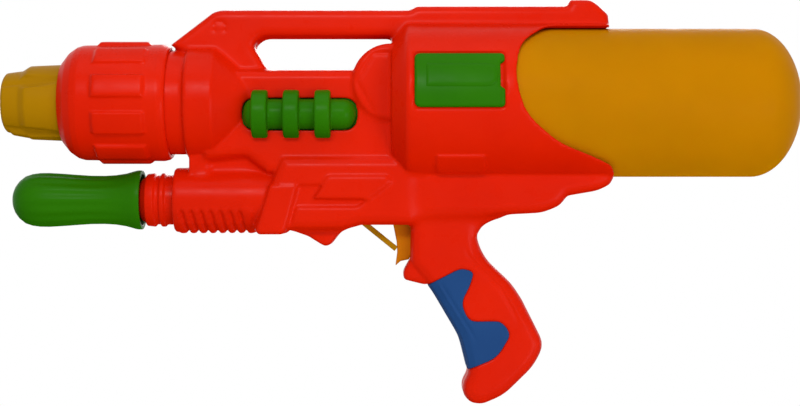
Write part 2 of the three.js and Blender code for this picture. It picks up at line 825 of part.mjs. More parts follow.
// Side panels on the cowl
const panelX = cowlX + 4;
const panelZ = axisZ + panelRise;
function panelOutline(grow) {
  const [low, high] = [panelZ - panelHeight / 2 - grow, panelZ + panelHeight / 2 + grow];
  const [left, right] = [panelX - grow, panelX + panelLength + grow];
  return [[left, low, 1.5], [right, low, 1.5], [right, high, 1.5], [left, high, 1.5]];
}
const panelRing = turned([
  [panelX - 2, cowlRadius - panelFloor + gap],
  [panelX - 2, cowlRadius + panelProud - 1.2],
  [panelX + 1.5, cowlRadius + panelProud],
  [panelX + panelLength - 1.5, cowlRadius + panelProud],
  [panelX + panelLength + 2, cowlRadius + panelProud - 1.2],
  [panelX + panelLength + 2, cowlRadius - panelFloor + gap],
  [panelX - 2, cowlRadius - panelFloor + gap],
], axisZ, 2 * largeFacets);
const panelPair = panelRing.intersect(slab(panelOutline(0), cowlRadius + 20));

// Ribbed inserts in the fore body, each shown through a slot and held by a flange behind it
const insertZ = axisZ - 8.3;
const insertX = noseX + insertLead;
const slotMargin = 0.6;
const slotRound = insertRodRadius - 1;
const insertSlot = slab([
  [insertX - slotMargin, insertZ - insertRodRadius - slotMargin, slotRound],
  [insertX + insertLength + slotMargin, insertZ - insertRodRadius - slotMargin, slotRound],
  [insertX + insertLength + slotMargin, insertZ + insertRodRadius + slotMargin, slotRound],
  [insertX - slotMargin, insertZ + insertRodRadius + slotMargin, slotRound],
], midHalfWidth + 5);
function ribbedInsert(side) {
  const y = side * midHalfWidth;
  const round = insertRodRadius - 2;
  const core = turned([
    [insertX, 0],
    [insertX, insertRodRadius - round],
    [insertX + 0.3 * round, insertRodRadius - 0.3 * round],
    [insertX + round, insertRodRadius],
    [insertX + insertLength - round, insertRodRadius],
    [insertX + insertLength - 0.3 * round, insertRodRadius - 0.3 * round],
    [insertX + insertLength, insertRodRadius - round],
    [insertX + insertLength, 0],
  ], insertZ, midFacets, y);
  const fins = [0, 1, 2].map((i) => {
    const x = insertX + insertFinStart + i * insertFinPitch;
    const left = x - insertFinWidth / 2;
    const right = x + insertFinWidth / 2;
    return turned([
      [left, 0],
      [left, insertFinRadius - 2],
      [left + 2, insertFinRadius],
      [right - 2, insertFinRadius],
      [right, insertFinRadius - 2],
      [right, 0],
    ], insertZ, midFacets, y);
  });
  const faceY = midHalfWidth + gap;
  const backY = midHalfWidth - wall - gap;
  const outside = side < 0 ? [-60, -faceY] : [faceY, 60];
  const inside = side < 0 ? [-60, -backY + 2] : [backY - 2, 60];
  const flange = side < 0 ? [-backY, -backY + 2] : [backY - 2, backY];
  const far = insertFinRadius + 5;
  const reach = [insertX - 5, insertX + insertLength + 5];
  return join(
    join(...fins).intersect(box(...reach, ...outside, insertZ - far, insertZ + far)),
    core.intersect(box(...reach, ...inside, insertZ - far, insertZ + far)),
    box(insertX - 3.5, insertX + insertLength + 3.5, ...flange, insertZ - 13, insertZ + 13),
  );
}

// The two shells
const shell = bodyShell();
const far = 400;
add('body_shell_left', shell.intersect(box(-far, far, -far, -seam / 2, -far, far)), shellRed);
add('body_shell_right', shell.intersect(box(-far, far, seam / 2, far, -far, far)), shellRed);

// Collar, nozzle and the line that feeds it
function collar() {
  const base = turned([
    [collarFrontX, nozzleRadius + 2 * gap],
    [collarFrontX, nozzleRadius + 1.6],
    [collarFrontX + 5, collarRadius - 5.2],
    [collarFrontX + 10, collarRadius - 1.7],
    [collarFrontX + 14, collarRadius - 0.6],
    [collarRearX - 5, collarRadius],
    [collarRearX - 1.5, collarRadius - 0.8],
    [collarRearX, collarRadius - 2.2],
    [collarRearX, neckRadius + gap],
    [collarFrontX + 11, neckRadius + gap],
    [collarFrontX + 4, nozzleRadius + 4.5],
    [collarFrontX + 4, nozzleRadius + 2 * gap],
    [collarFrontX, nozzleRadius + 2 * gap],
  ], axisZ, largeFacets);
  const ribX = collarRearX - 12 - collarRibLength;
  const top = collarRadius + collarRibHeight;
  const band = turned([
    [ribX, collarRadius - 2],
    [ribX, collarRadius - 0.4],
    [ribX + 2, top],
    [ribX + collarRibLength - 2, top],
    [ribX + collarRibLength, collarRadius - 0.2],
    [ribX + collarRibLength, collarRadius - 2],
    [ribX, collarRadius - 2],
  ], axisZ, 2 * midFacets);
  const ribs = Array.from({ length: collarRibCount }, (_, i) => {
    const half = collarRibWidth / 2;
    const wedge = new THREE.ExtrudeGeometry(outline([
      [-half - 1, collarRadius - 4], [half + 1, collarRadius - 4], [half - 1, top + 2], [1 - half, top + 2],
    ]), { depth: collarLength, bevelEnabled: false });
    wedge.rotateY(Math.PI / 2);
    wedge.rotateX(((i + 0.5) * 2 * Math.PI) / collarRibCount + collarTurn);
    wedge.translate(collarFrontX, 0, axisZ);
    return band.intersect(solid(wedge));
  });
  return join(base, ...ribs);
}
add('nozzle_collar', collar(), shellRed);

const nozzleHub = spigotRadius + gap;
const nozzleFlangeX = collarFrontX + 4 + gap;
function nozzle() {
  const cup = turned([
    [nozzleFrontX + 1.5, jetRadius + gap],
    [nozzleFrontX + 1.5, nozzleFrontRadius - 4],
    [nozzleFrontX, nozzleFrontRadius - 2.5],
    [nozzleFrontX + 1.6, nozzleFrontRadius - 0.3],
    [nozzleFrontX + 12, nozzleFrontRadius + 1],
    [nozzleFrontX + 17, nozzleRadius - 1],
    [collarFrontX + 2, nozzleRadius],
    [nozzleFlangeX, nozzleRadius],
    [nozzleFlangeX, nozzleRadius + 3],
    [nozzleFlangeX + 3, nozzleRadius + 3],
    [nozzleFlangeX + 3, nozzleRadius - nozzleWall - 3],
    [nozzleFrontX + 20, nozzleRadius - nozzleWall - 3],
    [nozzleFrontX + 10, nozzleFrontRadius - nozzleWall - 2.4],
    [nozzleFrontX + 7, nozzleHub + 3],
    [nozzleFrontX + 24, nozzleHub + 3],
    [nozzleFrontX + 24, nozzleHub],
    [nozzleFrontX + 6, nozzleHub],
    [nozzleFrontX + 6, jetRadius + gap],
    [nozzleFrontX + 1.5, jetRadius + gap],
  ], axisZ, largeFacets);
  // The lobe underneath runs on to the tip; the others stop at the step
  const longLobe = new THREE.BoxGeometry(nozzleReach, nozzleLobeWidth, nozzleRadius);
  longLobe.translate(0, 0, -nozzleRadius / 2);
  longLobe.rotateX(nozzleTurn);
  longLobe.translate(collarFrontX - nozzleReach / 2, 0, axisZ);
  const lobe = turned([
    [nozzleFrontX + 2.5, nozzleFrontRadius - 4],
    [nozzleFrontX + 2.5, nozzleFrontRadius - 1.7],
    [nozzleFrontX + 5, nozzleFrontRadius + 1.5],
    [nozzleFrontX + 18, nozzleRadius - 1.4],
    [nozzleFrontX + 18, nozzleFrontRadius - 0.4],
    [nozzleFrontX + 6, nozzleFrontRadius - 4],
    [nozzleFrontX + 2.5, nozzleFrontRadius - 4],
  ], axisZ, largeFacets).intersect(solid(longLobe));
  // Grooves that follow the taper part the lobes
  const taper = Math.atan((nozzleRadius - nozzleFrontRadius) / nozzleReach);
  const middleRadius = (nozzleRadius + nozzleFrontRadius) / 2;
  const grooves = [0, 1, 2, 3].map((i) => {
    const cutter = new THREE.CylinderGeometry(
      nozzleGrooveRadius, nozzleGrooveRadius, nozzleReach + 4, smallFacets,
    );
    cutter.rotateZ(Math.PI / 2);
    cutter.rotateY(-taper);
    cutter.translate(0, 0, middleRadius + nozzleGrooveRadius - nozzleGrooveDepth);
    cutter.rotateX(nozzleTurn + Math.PI / 4 + (i * Math.PI) / 2);
    cutter.translate(collarFrontX - nozzleReach / 2, 0, axisZ);
    return solid(cutter);
  });
  return join(cup, lobe).subtract(join(...grooves));
}
add('nozzle', nozzle(), nozzleYellow);

const spigotSealX = nozzleFrontX + 18;
const spigotFlangeX = neckFrontX - gap;
const barbRadius = hoseBore - gap;
const spigotTailX = neckFrontX + 8;
add('nozzle_spigot', turned([
  [nozzleFrontX + 6 + gap, jetRadius + gap],
  [nozzleFrontX + 6 + gap, spigotRadius],
  [spigotSealX - 1.2, spigotRadius],
  [spigotSealX - 1.2, spigotRadius - 1.6],
  [spigotSealX + 1.2, spigotRadius - 1.6],
  [spigotSealX + 1.2, spigotRadius],
  [spigotFlangeX - 3, spigotRadius],
  [spigotFlangeX - 3, spigotRadius + 8],
  [spigotFlangeX, spigotRadius + 8],
  [spigotFlangeX, spigotRadius],
  [spigotTailX, spigotRadius],
  [spigotTailX, barbRadius],
  [spigotTailX + barbLength, barbRadius],
  [spigotTailX + barbLength, barbBore],
  [spigotTailX - 2, barbBore],
  [spigotTailX - 2, jetBore + 1],
  [nozzleFrontX + 18, jetBore + 1],
  [nozzleFrontX + 18, jetRadius + gap],
  [nozzleFrontX + 6 + gap, jetRadius + gap],
], axisZ), whitePlastic);
add('spigot_seal', oRing(spigotSealX, spigotRadius - 0.65, 1.5, axisZ), rubber);
const jetTip = ring(nozzleFrontX + 1, nozzleFrontX + 18 - gap, jetBore, jetRadius, axisZ, smallFacets);
add('jet_tip', jetTip, whitePlastic);

// Pump
add('pump_end_cap', turned([
  [endCapFrontX - endCapNose, rodRadius + gap],
  [endCapFrontX - endCapNose, rodRadius + 4],
  [endCapFrontX - endCapNose + 1.3, endCapRadius - 5],
  [endCapFrontX, endCapRadius - 2.6],
  [endCapFrontX + 1.5, endCapRadius],
  [endCapFrontX + 7, endCapRadius + 0.4],
  [endCapFrontX + 8, endCapRadius - 1.2],
  [endCapFrontX + 10, endCapRadius - 1.2],
  [endCapFrontX + 11, endCapRadius + 0.4],
  [endCapFrontX + 13, endCapRadius + 0.4],
  [endCapFrontX + 14, endCapRadius - 1],
  [tubeFrontX + 5, endCapRadius - 1],
  [tubeFrontX + 5, cylinderRadius + gap],
  [cylinderFrontX - gap, cylinderRadius + gap],
  [cylinderFrontX - gap, rodRadius + 2.4],
  [cylinderFrontX - gap - 3, rodRadius + 2.4],
  [cylinderFrontX - gap - 3, rodRadius + gap],
  [endCapFrontX - endCapNose, rodRadius + gap],
], pumpZ, midFacets), shellRed);
add('rod_seal', oRing(cylinderFrontX - gap - 1.5, rodRadius + 1.3, 1.9, pumpZ), rubber);
add('pump_cylinder', turned([
  [cylinderFrontX, cylinderRadius - cylinderWall],
  [cylinderFrontX, cylinderRadius],
  [cylinderRearX, cylinderRadius],
  [cylinderRearX, 2],
  [cylinderRearX - cylinderWall, 2],
  [cylinderRearX - cylinderWall, cylinderRadius - cylinderWall],
  [cylinderFrontX, cylinderRadius - cylinderWall],
], pumpZ, midFacets), whitePlastic);
const boreRadius = cylinderRadius - cylinderWall;
const pistonFrontX = pistonX - pistonLength;
add('pump_piston', turned([
  [pistonFrontX, rodRadius + gap],
  [pistonFrontX, boreRadius - gap],
  [pistonX - 6, boreRadius - gap],
  [pistonX - 6, boreRadius - 3],
  [pistonX - 3, boreRadius - 3],
  [pistonX - 3, boreRadius - gap],
  [pistonX, boreRadius - gap],
  [pistonX, 0],
  [pistonX - 3, 0],
  [pistonX - 3, rodRadius + gap - 1.5],
  [pistonX - 4, rodRadius + gap],
  [pistonFrontX, rodRadius + gap],
], pumpZ, midFacets), whitePlastic);
add('piston_seal', oRing(pistonX - 4.5, boreRadius - 1.55, 2.4, pumpZ), rubber);
const rodFrontX = handleFrontX + 14;
add('pump_rod', rod(rodFrontX, pistonX - 4 - gap, rodRadius, pumpZ, midFacets), whitePlastic);

const handleAt = (share) => handleFrontX + share * handleLength;
add('pump_handle', turned([
  [handleFrontX, 0],
  [handleFrontX + 0.6, handleNoseRadius * 0.35],
  [handleFrontX + 3.2, handleNoseRadius * 0.65],
  [handleFrontX + 8.5, handleNoseRadius * 0.88],
  [handleFrontX + 16, handleNoseRadius * 0.985],
  [handleFrontX + 24, handleNoseRadius],
  [handleAt(0.48), (handleNoseRadius + handleWaistRadius) / 2],
  [handleAt(0.64), handleWaistRadius],
  [handleAt(0.78), handleWaistRadius + 0.6],
  [handleRearX - 8, handleRimRadius - 1.6],
  [handleRearX - 4, handleRimRadius],
  [handleRearX, handleRimRadius],
  [handleRearX, handleRimRadius - handleWall],
  [handleRearX - 8, handleRimRadius - handleWall - 1.6],
  [handleAt(0.78), handleWaistRadius - handleWall],
  [handleAt(0.64), handleWaistRadius - handleWall],
  [handleFrontX + 16, handleNoseRadius - handleWall - 1.4],
  [handleFrontX + 11, rodRadius + gap + 3],
  [handleAt(0.5), rodRadius + gap + 3],
  [handleAt(0.5), rodRadius + gap],
  [rodFrontX - gap, rodRadius + gap],
  [rodFrontX - gap, 0],
], pumpZ, midFacets), green);

const checkX = cylinderRearX + gap;
const checkTailX = checkX + 9;
add('check_valve_body', turned([
  [checkX, 2],
  [checkX, 7],
  [checkTailX, 7],
  [checkTailX, barbRadius],
  [checkTailX + barbLength, barbRadius],
  [checkTailX + barbLength, barbBore],
  [checkTailX - 2, barbBore],
  [checkTailX - 2, 4.6],
  [checkX + 2, 4.6],
  [checkX + 2, 2],
  [checkX, 2],
], pumpZ, midFacets), whitePlastic);
add('check_valve_duckbill', turned([
  [checkX + 2 + gap, 2.4],
  [checkX + 2 + gap, 4.3],
  [checkX + 3.6, 4.3],
  [checkX + 3.6, 3.2],
  [checkX + 6.4, 1.2],
  [checkX + 6.4, 0.5],
  [checkX + 4, 2],
  [checkX + 2 + gap, 2.4],
], pumpZ, smallFacets), rubber);

// Tank, its head in the cowl, and the tube that draws from it
const portDrop = 4;
const portOffset = 7;
const portZ = axisZ - portDrop;
function tankHead() {
  const socket = turned([
    [headBaseX, 0],
    [headBaseX, cowlInner - gap],
    [headFaceX, cowlInner - gap],
    [headFaceX, tankNeckRadius + 5],
    [headFaceX + 20, tankNeckRadius + 5],
    [headFaceX + 20, tankNeckRadius + 2 * gap],
    [headFaceX, tankNeckRadius + 2 * gap],
    [headFaceX, 0],
  ], axisZ, largeFacets);
  const sides = [-portOffset, portOffset];
  const portX = headBaseX - barbLength;
  const ports = sides.map((y) => rod(portX, headBaseX + 1, barbRadius, portZ, smallFacets, y));
  const bores = sides.map((y) => rod(portX - 1, headFaceX + 1, barbBore, portZ, smallFacets, y));
  const pickupSeat = rod(headFaceX - 1, headFaceX + 1, pickupRadius + gap, portZ, smallFacets, portOffset);
  return join(socket, ...ports).subtract(join(...bores, pickupSeat));
}
add('tank_head', tankHead(), whitePlastic);
add('neck_gasket', turnedGeometry([
  [headFaceX + gap, tankNeckRadius - 3],
  [headFaceX + gap, tankNeckRadius],
  [headFaceX + gap + gasketThickness, tankNeckRadius],
  [headFaceX + gap + gasketThickness, tankNeckRadius - 3],
  [headFaceX + gap, tankNeckRadius - 3],
], axisZ, midFacets), rubber);
const pickupBore = 1.8;
add('pickup_tube', turnedGeometry([
  [headFaceX - 1 + gap, pickupBore],
  [headFaceX - 1 + gap, pickupRadius],
  [pickupEnd, pickupRadius],
  [pickupEnd, pickupBore],
  [headFaceX - 1 + gap, pickupBore],
], portZ, smallFacets, portOffset), clearHose);
const tankCylinderEnd = tankReach - tankDome;
const innerRadius = tankRadius - tankWall;
const neckBore = tankNeckRadius - 3;
add('tank', turned([
  [-tankNeckEnd, neckBore],
  [-tankNeckEnd, tankNeckRadius],
  ...dome(tankShoulderStart, -tankShoulder, tankRadius, tankNeckRadius, 4).reverse(),
  [tankShoulderStart, tankRadius],
  [tankCylinderEnd, tankRadius],
  ...dome(tankCylinderEnd, tankDome, tankRadius, 0, 6),
  ...dome(tankCylinderEnd, tankDome - tankWall, innerRadius, 0, 3).reverse(),
  [tankCylinderEnd, innerRadius],
  [tankShoulderStart, innerRadius],
  ...dome(tankShoulderStart, tankWall - tankShoulder, innerRadius, neckBore, 2),
  [-tankNeckEnd, neckBore],
], axisZ, largeFacets), tankAmber);

// Trigger with its leaf spring, and the valve that it opens
const triggerBody = slab(triggerOutline, triggerHalfWidth, 0.8)
  .subtract(bar('y', triggerX, triggerPivotHeight, -20, 20, triggerPinRadius + gap));
add('trigger', triggerBody, nozzleYellow);
const leafStop = slab(inset(triggerOutline, -gap), triggerHalfWidth + 5);
add('trigger_leaf_spring', slab(leafOutline, leafHalfWidth).subtract(leafStop), nozzleYellow);
add('trigger_pin', bar('y', triggerX, triggerPivotHeight, -14, 14, triggerPinRadius), steel);

const stemX = [valveFrontX + 9, valveFrontX + valveLength - 8];
function valveBody() {
  const barrel = turned([
    [valveFrontX, plungerRadius + gap],
    [valveFrontX, valveRadius],
    [valveFrontX + valveLength, valveRadius],
    [valveFrontX + valveLength, 0],
    [valveFrontX + valveLength - 3, 0],
    [valveFrontX + valveLength - 3, 5],
    [valveFrontX + 7, 5],
    [valveFrontX + 7, plungerRadius + gap],
    [valveFrontX + 4, plungerRadius + gap],
    [valveFrontX + 4, plungerRadius + 1.9],
    [valveFrontX + 2, plungerRadius + 1.9],
    [valveFrontX + 2, plungerRadius + gap],
    [valveFrontX, plungerRadius + gap],
  ], valveZ, midFacets);
  const top = valveZ + valveRadius;
  const stems = stemX.map((x) => bar('z', x, 0, top - 1.5, top + barbLength, barbRadius));
  const bores = stemX.map((x) => bar('z', x, 0, valveZ + 3, top + barbLength + 1, barbBore));
  return join(barrel, ...stems).subtract(join(...bores));
}
add('valve_body', valveBody(), whitePlastic);
add('plunger_seal', oRing(valveFrontX + 3, plungerRadius + 1.05, 1.4, valveZ), rubber);
add('valve_plunger', turned([
  [plungerFrontX, 0],
  [plungerFrontX, plungerRadius - 1],
  [plungerFrontX + 1, plungerRadius],
  [valveFrontX + 8, plungerRadius],
  [valveFrontX + 8, 4.6],
  [valveFrontX + 11, 4.6],
  [valveFrontX + 11, 0],
], valveZ, midFacets), whitePlastic);

// Hoses, each pushed straight over a barb at both ends
const stemTop = valveZ + valveRadius + gap;
const overBarb = barbLength + 5;
const pastBarb = overBarb + 2.4;
add('air_hose', hose([
  [checkTailX + gap, 0, pumpZ],
  [checkTailX + overBarb, 0, pumpZ],
  [checkTailX + pastBarb, -0.4, pumpZ + 0.4],
  [cowlX - 11.5, -3.6, pumpZ + 5],
  [cowlX - 10, -7.2, pumpZ + 13],
  [cowlX - 9, -7.4, pumpZ + 24],
  [cowlX - 11, -7.2, pumpZ + 38],
  [cowlX - 10, -portOffset, portZ - 8],
  [headBaseX - pastBarb, -portOffset, portZ - 0.4],
  [headBaseX - overBarb, -portOffset, portZ],
  [headBaseX - gap, -portOffset, portZ],
]), clearHose);
add('water_hose', hose([
  [headBaseX - gap, portOffset, portZ],
  [headBaseX - overBarb, portOffset, portZ],
  [headBaseX - pastBarb, portOffset, portZ - 0.4],
  [cowlX - 9, 7.6, portZ - 8],
  [cowlX - 11, 8.2, portZ - 20],
  [cowlX - 7, 8.8, shelfZ - 1],
  [cowlX - 2, 9, shelfZ - 12],
  [cowlX + 5, 9, shelfZ - 20],
  [stemX[1] - 12, 8.4, stemTop + 20],
  [stemX[1] - 3, 4, stemTop + 16],
  [stemX[1], 0.4, stemTop + pastBarb],
  [stemX[1], 0, stemTop + overBarb],
  [stemX[1], 0, stemTop],
]), clearHose);
add('feed_hose', hose([
  [stemX[0], 0, stemTop],
  [stemX[0], 0, stemTop + overBarb],
  [stemX[0] - 0.4, 0, stemTop + pastBarb],
  [stemX[0] - 6, 0, stemTop + 17],
  [stemX[0] - 17, 0, stemTop + 22],
  [cowlX - 9, 0, shelfZ - 14],
  [cowlX - 25, 0, shelfZ - 3],
  [cowlX - 37, 0, shelfZ + 13],
  [cowlX - 49, 0, axisZ - 8],
  [cowlX - feedRise, 0, axisZ - 1],
  [cowlX - feedLevel, 0, axisZ],
  [noseX + 20, 0, axisZ],
  [spigotTailX + overBarb, 0, axisZ],
  [spigotTailX + gap, 0, axisZ],
]), clearHose);

// Inlay, inserts and panels
add('grip_inlay', inlayPrism(0)
  .intersect(within(gripOutline, gripHalfWidth, gripRound, -inlayProud))
  .subtract(within(gripOutline, gripHalfWidth, gripRound, inlayDepth)), gripBlue);
add('ribbed_insert_left', ribbedInsert(-1), green);
add('ribbed_insert_right', ribbedInsert(1), green);
add('side_panel_left', panelPair.intersect(box(-far, far, -far, 0, -far, far)), green);
add('side_panel_right', panelPair.intersect(box(-far, far, 0, far, -far, far)), green);

// Case screws
for (const [place, [x, z]] of Object.entries(screwPosts)) {
  const head = bar('y', x, z, screwSeat + gap, screwSeat + gap + screwHeadHeight, screwHeadRadius);
  const shank = bar('y', x, z, -screwDepth, screwSeat + gap + 0.5, screwRadius, 8);
  const slotDepth = screwHeadHeight / 2;
  const drive = screwSeat + gap + screwHeadHeight;
  const slots = join(
    box(x - 1.7, x + 1.7, drive - slotDepth, drive + 1, z - 0.4, z + 0.4),
    box(x - 0.4, x + 0.4, drive - slotDepth, drive + 1, z - 1.7, z + 1.7),
  );
  add(`screw_${place}`, join(head, shank).subtract(slots), steel);
}

export default squirter;
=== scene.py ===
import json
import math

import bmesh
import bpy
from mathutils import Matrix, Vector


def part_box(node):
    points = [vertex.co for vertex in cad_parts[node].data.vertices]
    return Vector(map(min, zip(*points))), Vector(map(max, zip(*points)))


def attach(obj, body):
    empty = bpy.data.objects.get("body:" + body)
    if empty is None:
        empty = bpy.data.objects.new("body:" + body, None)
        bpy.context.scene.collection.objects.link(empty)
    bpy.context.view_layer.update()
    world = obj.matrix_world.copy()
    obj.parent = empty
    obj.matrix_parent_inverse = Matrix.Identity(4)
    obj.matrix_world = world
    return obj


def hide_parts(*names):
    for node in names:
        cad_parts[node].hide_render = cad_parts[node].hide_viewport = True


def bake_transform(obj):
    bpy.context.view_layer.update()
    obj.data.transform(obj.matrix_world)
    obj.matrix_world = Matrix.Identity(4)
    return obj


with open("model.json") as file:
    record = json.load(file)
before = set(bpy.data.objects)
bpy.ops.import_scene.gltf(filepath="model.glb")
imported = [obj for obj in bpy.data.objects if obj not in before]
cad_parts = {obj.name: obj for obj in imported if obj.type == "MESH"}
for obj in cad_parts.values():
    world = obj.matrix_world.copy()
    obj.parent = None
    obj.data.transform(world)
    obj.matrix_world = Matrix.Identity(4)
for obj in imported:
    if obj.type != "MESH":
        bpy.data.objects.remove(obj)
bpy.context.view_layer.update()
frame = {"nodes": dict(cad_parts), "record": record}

# %% [markdown]
# # A pump-action water squirter
# The toy is a two-part moulded body with a screw-on tank behind it, a pump underneath and a
# nozzle in front. The solids of every piece are already in the frame that was just loaded. In
# this lesson they are dressed: pieces whose faceted solids would show get a smooth skin or a
# new mesh, and every piece gets its finish. The toy's lengths are written in millimetres and
# turned into metres by one factor, because that is how it would be drawn. The room around it,
# with its camera, lamps and floor, is in metres.

MM = 0.001
nodes = frame["nodes"]

# %% [markdown]
# ## Where the camera stands
# The picture is taken from the side, about a metre away and level with the middle of the toy.
# The lens follows from that distance: the frame is 520 mm wide where the toy stands.

# %% Camera
FRAME_WIDTH = 520 * MM
CAMERA_DISTANCE = 1.0
PICTURE_X, PICTURE_Z = -52 * MM, 63 * MM
SENSOR_WIDTH = 36
lens = bpy.data.cameras.new("side_camera")
lens.sensor_width = SENSOR_WIDTH
lens.lens = SENSOR_WIDTH * CAMERA_DISTANCE / FRAME_WIDTH
camera = bpy.data.objects.new("side_camera", lens)
camera.location = (PICTURE_X, -CAMERA_DISTANCE, PICTURE_Z)
camera.rotation_euler = (math.radians(90), 0, 0)
bpy.context.scene.collection.objects.link(camera)
bpy.context.scene.camera = camera
bpy.context.scene.view_settings.view_transform = "Standard"
print("lens", round(lens.lens, 1), "mm")

# %% [markdown]
# ## Room and light
# A moulding shows the room it stands in, so the light is soft: a wide panel overhead, a small
# one high at the front, which draws the highlights, a broad one low on the right, which keeps
# the lower sides from going dark, and one behind for the far side. The world is white to the
# camera and to reflections, and a plain grey glow to everything else, so the background stays
# white without extra light on the toy.

# %% World
GLOW = 0.36
WHITE = (1, 1, 1, 1)
world = bpy.data.worlds.new("studio")
bpy.context.scene.world = world
world.use_nodes = True
sky = world.node_tree
glow = sky.nodes["Background"]
white = sky.nodes.new("ShaderNodeBackground")
for light, strength in ((glow, GLOW), (white, 1.0)):
    light.inputs["Color"].default_value = WHITE
    light.inputs["Strength"].default_value = strength
ray = sky.nodes.new("ShaderNodeLightPath")
pick = sky.nodes.new("ShaderNodeMixShader")
seen = ray.outputs["Is Camera Ray"]
for kind in ("Is Glossy Ray", "Is Transmission Ray"):
    either = sky.nodes.new("ShaderNodeMath")
    either.operation = "MAXIMUM"
    sky.links.new(seen, either.inputs[0])
    sky.links.new(ray.outputs[kind], either.inputs[1])
    seen = either.outputs[0]
sky.links.new(seen, pick.inputs[0])
sky.links.new(glow.outputs[0], pick.inputs[1])
sky.links.new(white.outputs[0], pick.inputs[2])
sky.links.new(pick.outputs[0], sky.nodes["World Output"].inputs["Surface"])
print("world nodes:", len(sky.nodes))


# %% Lamps
def soft_panel(name, place, aim, size, power):
    lamp = bpy.data.lights.new(name, "AREA")
    lamp.shape = "RECTANGLE"
    lamp.size, lamp.size_y = size
    lamp.energy = power
    holder = bpy.data.objects.new(name, lamp)
    holder.location = place
    holder.rotation_euler = (Vector(aim) - Vector(place)).to_track_quat("-Z", "Y").to_euler()
    bpy.context.scene.collection.objects.link(holder)


TOY, GRIP = (-0.05, 0, 0.1), (0, 0, 0.1)
soft_panel("overhead_panel", place=(-0.1, -0.35, 1.15), aim=TOY, size=(1.1, 0.7), power=2.6)
soft_panel("window_panel", place=(-0.2, -1.06, 0.66), aim=TOY, size=(0.45, 0.22), power=5.6)
soft_panel("side_fill", place=(0.7, -1.1, -0.2), aim=GRIP, size=(0.7, 0.7), power=6.5)
soft_panel("back_fill", place=(0.1, 1.3, 0.6), aim=GRIP, size=(0.9, 0.6), power=8)

# %% [markdown]
# The toy is held in the hand, so the floor lies well below it. It is pale and plain, and only
# catches the shadow.

# %% Floor
FLOOR_REACH, FLOOR_PLACE = 1.6, (0, 0.3, -0.42)
FLOOR_COLOUR, FLOOR_ROUGHNESS = (0.86, 0.86, 0.85, 1), 0.9
bm = bmesh.new()
bmesh.ops.create_grid(bm, x_segments=1, y_segments=1, size=FLOOR_REACH)
bmesh.ops.translate(bm, verts=bm.verts, vec=FLOOR_PLACE)
floor_mesh = bpy.data.meshes.new("floor")
bm.to_mesh(floor_mesh)
bm.free()
floor = bpy.data.objects.new("floor", floor_mesh)
bpy.context.scene.collection.objects.link(floor)
floor_finish = bpy.data.materials.new("pale_floor")
floor_finish.use_nodes = True
floor_shader = floor_finish.node_tree.nodes["Principled BSDF"]
floor_shader.inputs["Base Color"].default_value = FLOOR_COLOUR
floor_shader.inputs["Roughness"].default_value = FLOOR_ROUGHNESS
floor_mesh.materials.append(floor_finish)
print("floor at", round(floor_mesh.vertices[0].co.z, 3))

# %% [markdown]
# ## Moulded plastic
# Every outside piece is injection moulded. Such plastic is one colour through and through, but
# it never renders as one flat colour: the melt leaves faint clouds, the polish of the mould
# varies, and handling leaves fine scuffs. Three noises do that. A wide one shifts the colour,
# a middle one the gloss, and a fine one is a very shallow bump, like the skin of an orange.
# Faces that look down are left dull, as they see the dark of the ground and not the sky.

# %% A plastic finish
CLOUD_SIZE, CLOUD_EDGES = 46, (0.32, 0.68)
POLISH_SIZE, POLISH_EDGES = 9, (0.3, 0.7)
GLOSS_DOWN, GLOSS_UP = 0.06, 0.07
SKIN_DEPTH = 0.4 * MM
LOOKS_DOWN = (-0.7, -0.1)


def plastic(name, colour, cloud_colour, gloss, skin=0.03, skin_size=1.6, shine=0.04):
    finish = bpy.data.materials.new(name)
    finish.use_nodes = True
    tree = finish.node_tree
    shader = tree.nodes["Principled BSDF"]
    where = tree.nodes.new("ShaderNodeTexCoord")

    def noise(size, detail):
        grain = tree.nodes.new("ShaderNodeTexNoise")
        grain.inputs["Scale"].default_value = 1 / (size * MM)
        grain.inputs["Detail"].default_value = detail
        tree.links.new(where.outputs["Object"], grain.inputs["Vector"])
        return grain.outputs["Fac"]

    def mapped(value, old, new):
        scale = tree.nodes.new("ShaderNodeMapRange")
        for end, number in zip(("From Min", "From Max", "To Min", "To Max"), (*old, *new)):
            scale.inputs[end].default_value = number
        tree.links.new(value, scale.inputs["Value"])
        return scale.outputs["Result"]

    clouds = tree.nodes.new("ShaderNodeValToRGB")
    for stop, edge, tint in zip(clouds.color_ramp.elements, CLOUD_EDGES, (cloud_colour, colour)):
        stop.position = edge
        stop.color = (*tint, 1)
    tree.links.new(noise(CLOUD_SIZE, detail=2), clouds.inputs["Fac"])
    tree.links.new(clouds.outputs["Color"], shader.inputs["Base Color"])

    polish = mapped(
        noise(POLISH_SIZE, detail=4), POLISH_EDGES, (gloss - GLOSS_DOWN, gloss + GLOSS_UP))
    tree.links.new(polish, shader.inputs["Roughness"])

    bump = tree.nodes.new("ShaderNodeBump")
    bump.inputs["Strength"].default_value = skin
    bump.inputs["Distance"].default_value = SKIN_DEPTH
    tree.links.new(noise(skin_size, detail=3), bump.inputs["Height"])
    tree.links.new(bump.outputs["Normal"], shader.inputs["Normal"])

    facing = tree.nodes.new("ShaderNodeSeparateXYZ")
    tree.links.new(where.outputs["Normal"], facing.inputs["Vector"])
    dull = mapped(facing.outputs["Z"], LOOKS_DOWN, (0, shine))
    tree.links.new(dull, shader.inputs["Specular IOR Level"])
    return finish


# %% [markdown]
# The toy's colours are a strong red, green and yellow, with a softer blue where the hand closes.
# A finish is its colour, the colour of its clouds and how rough it is. The inlay and the seals
# get a coarser skin, because they are made to hold and not to shine.

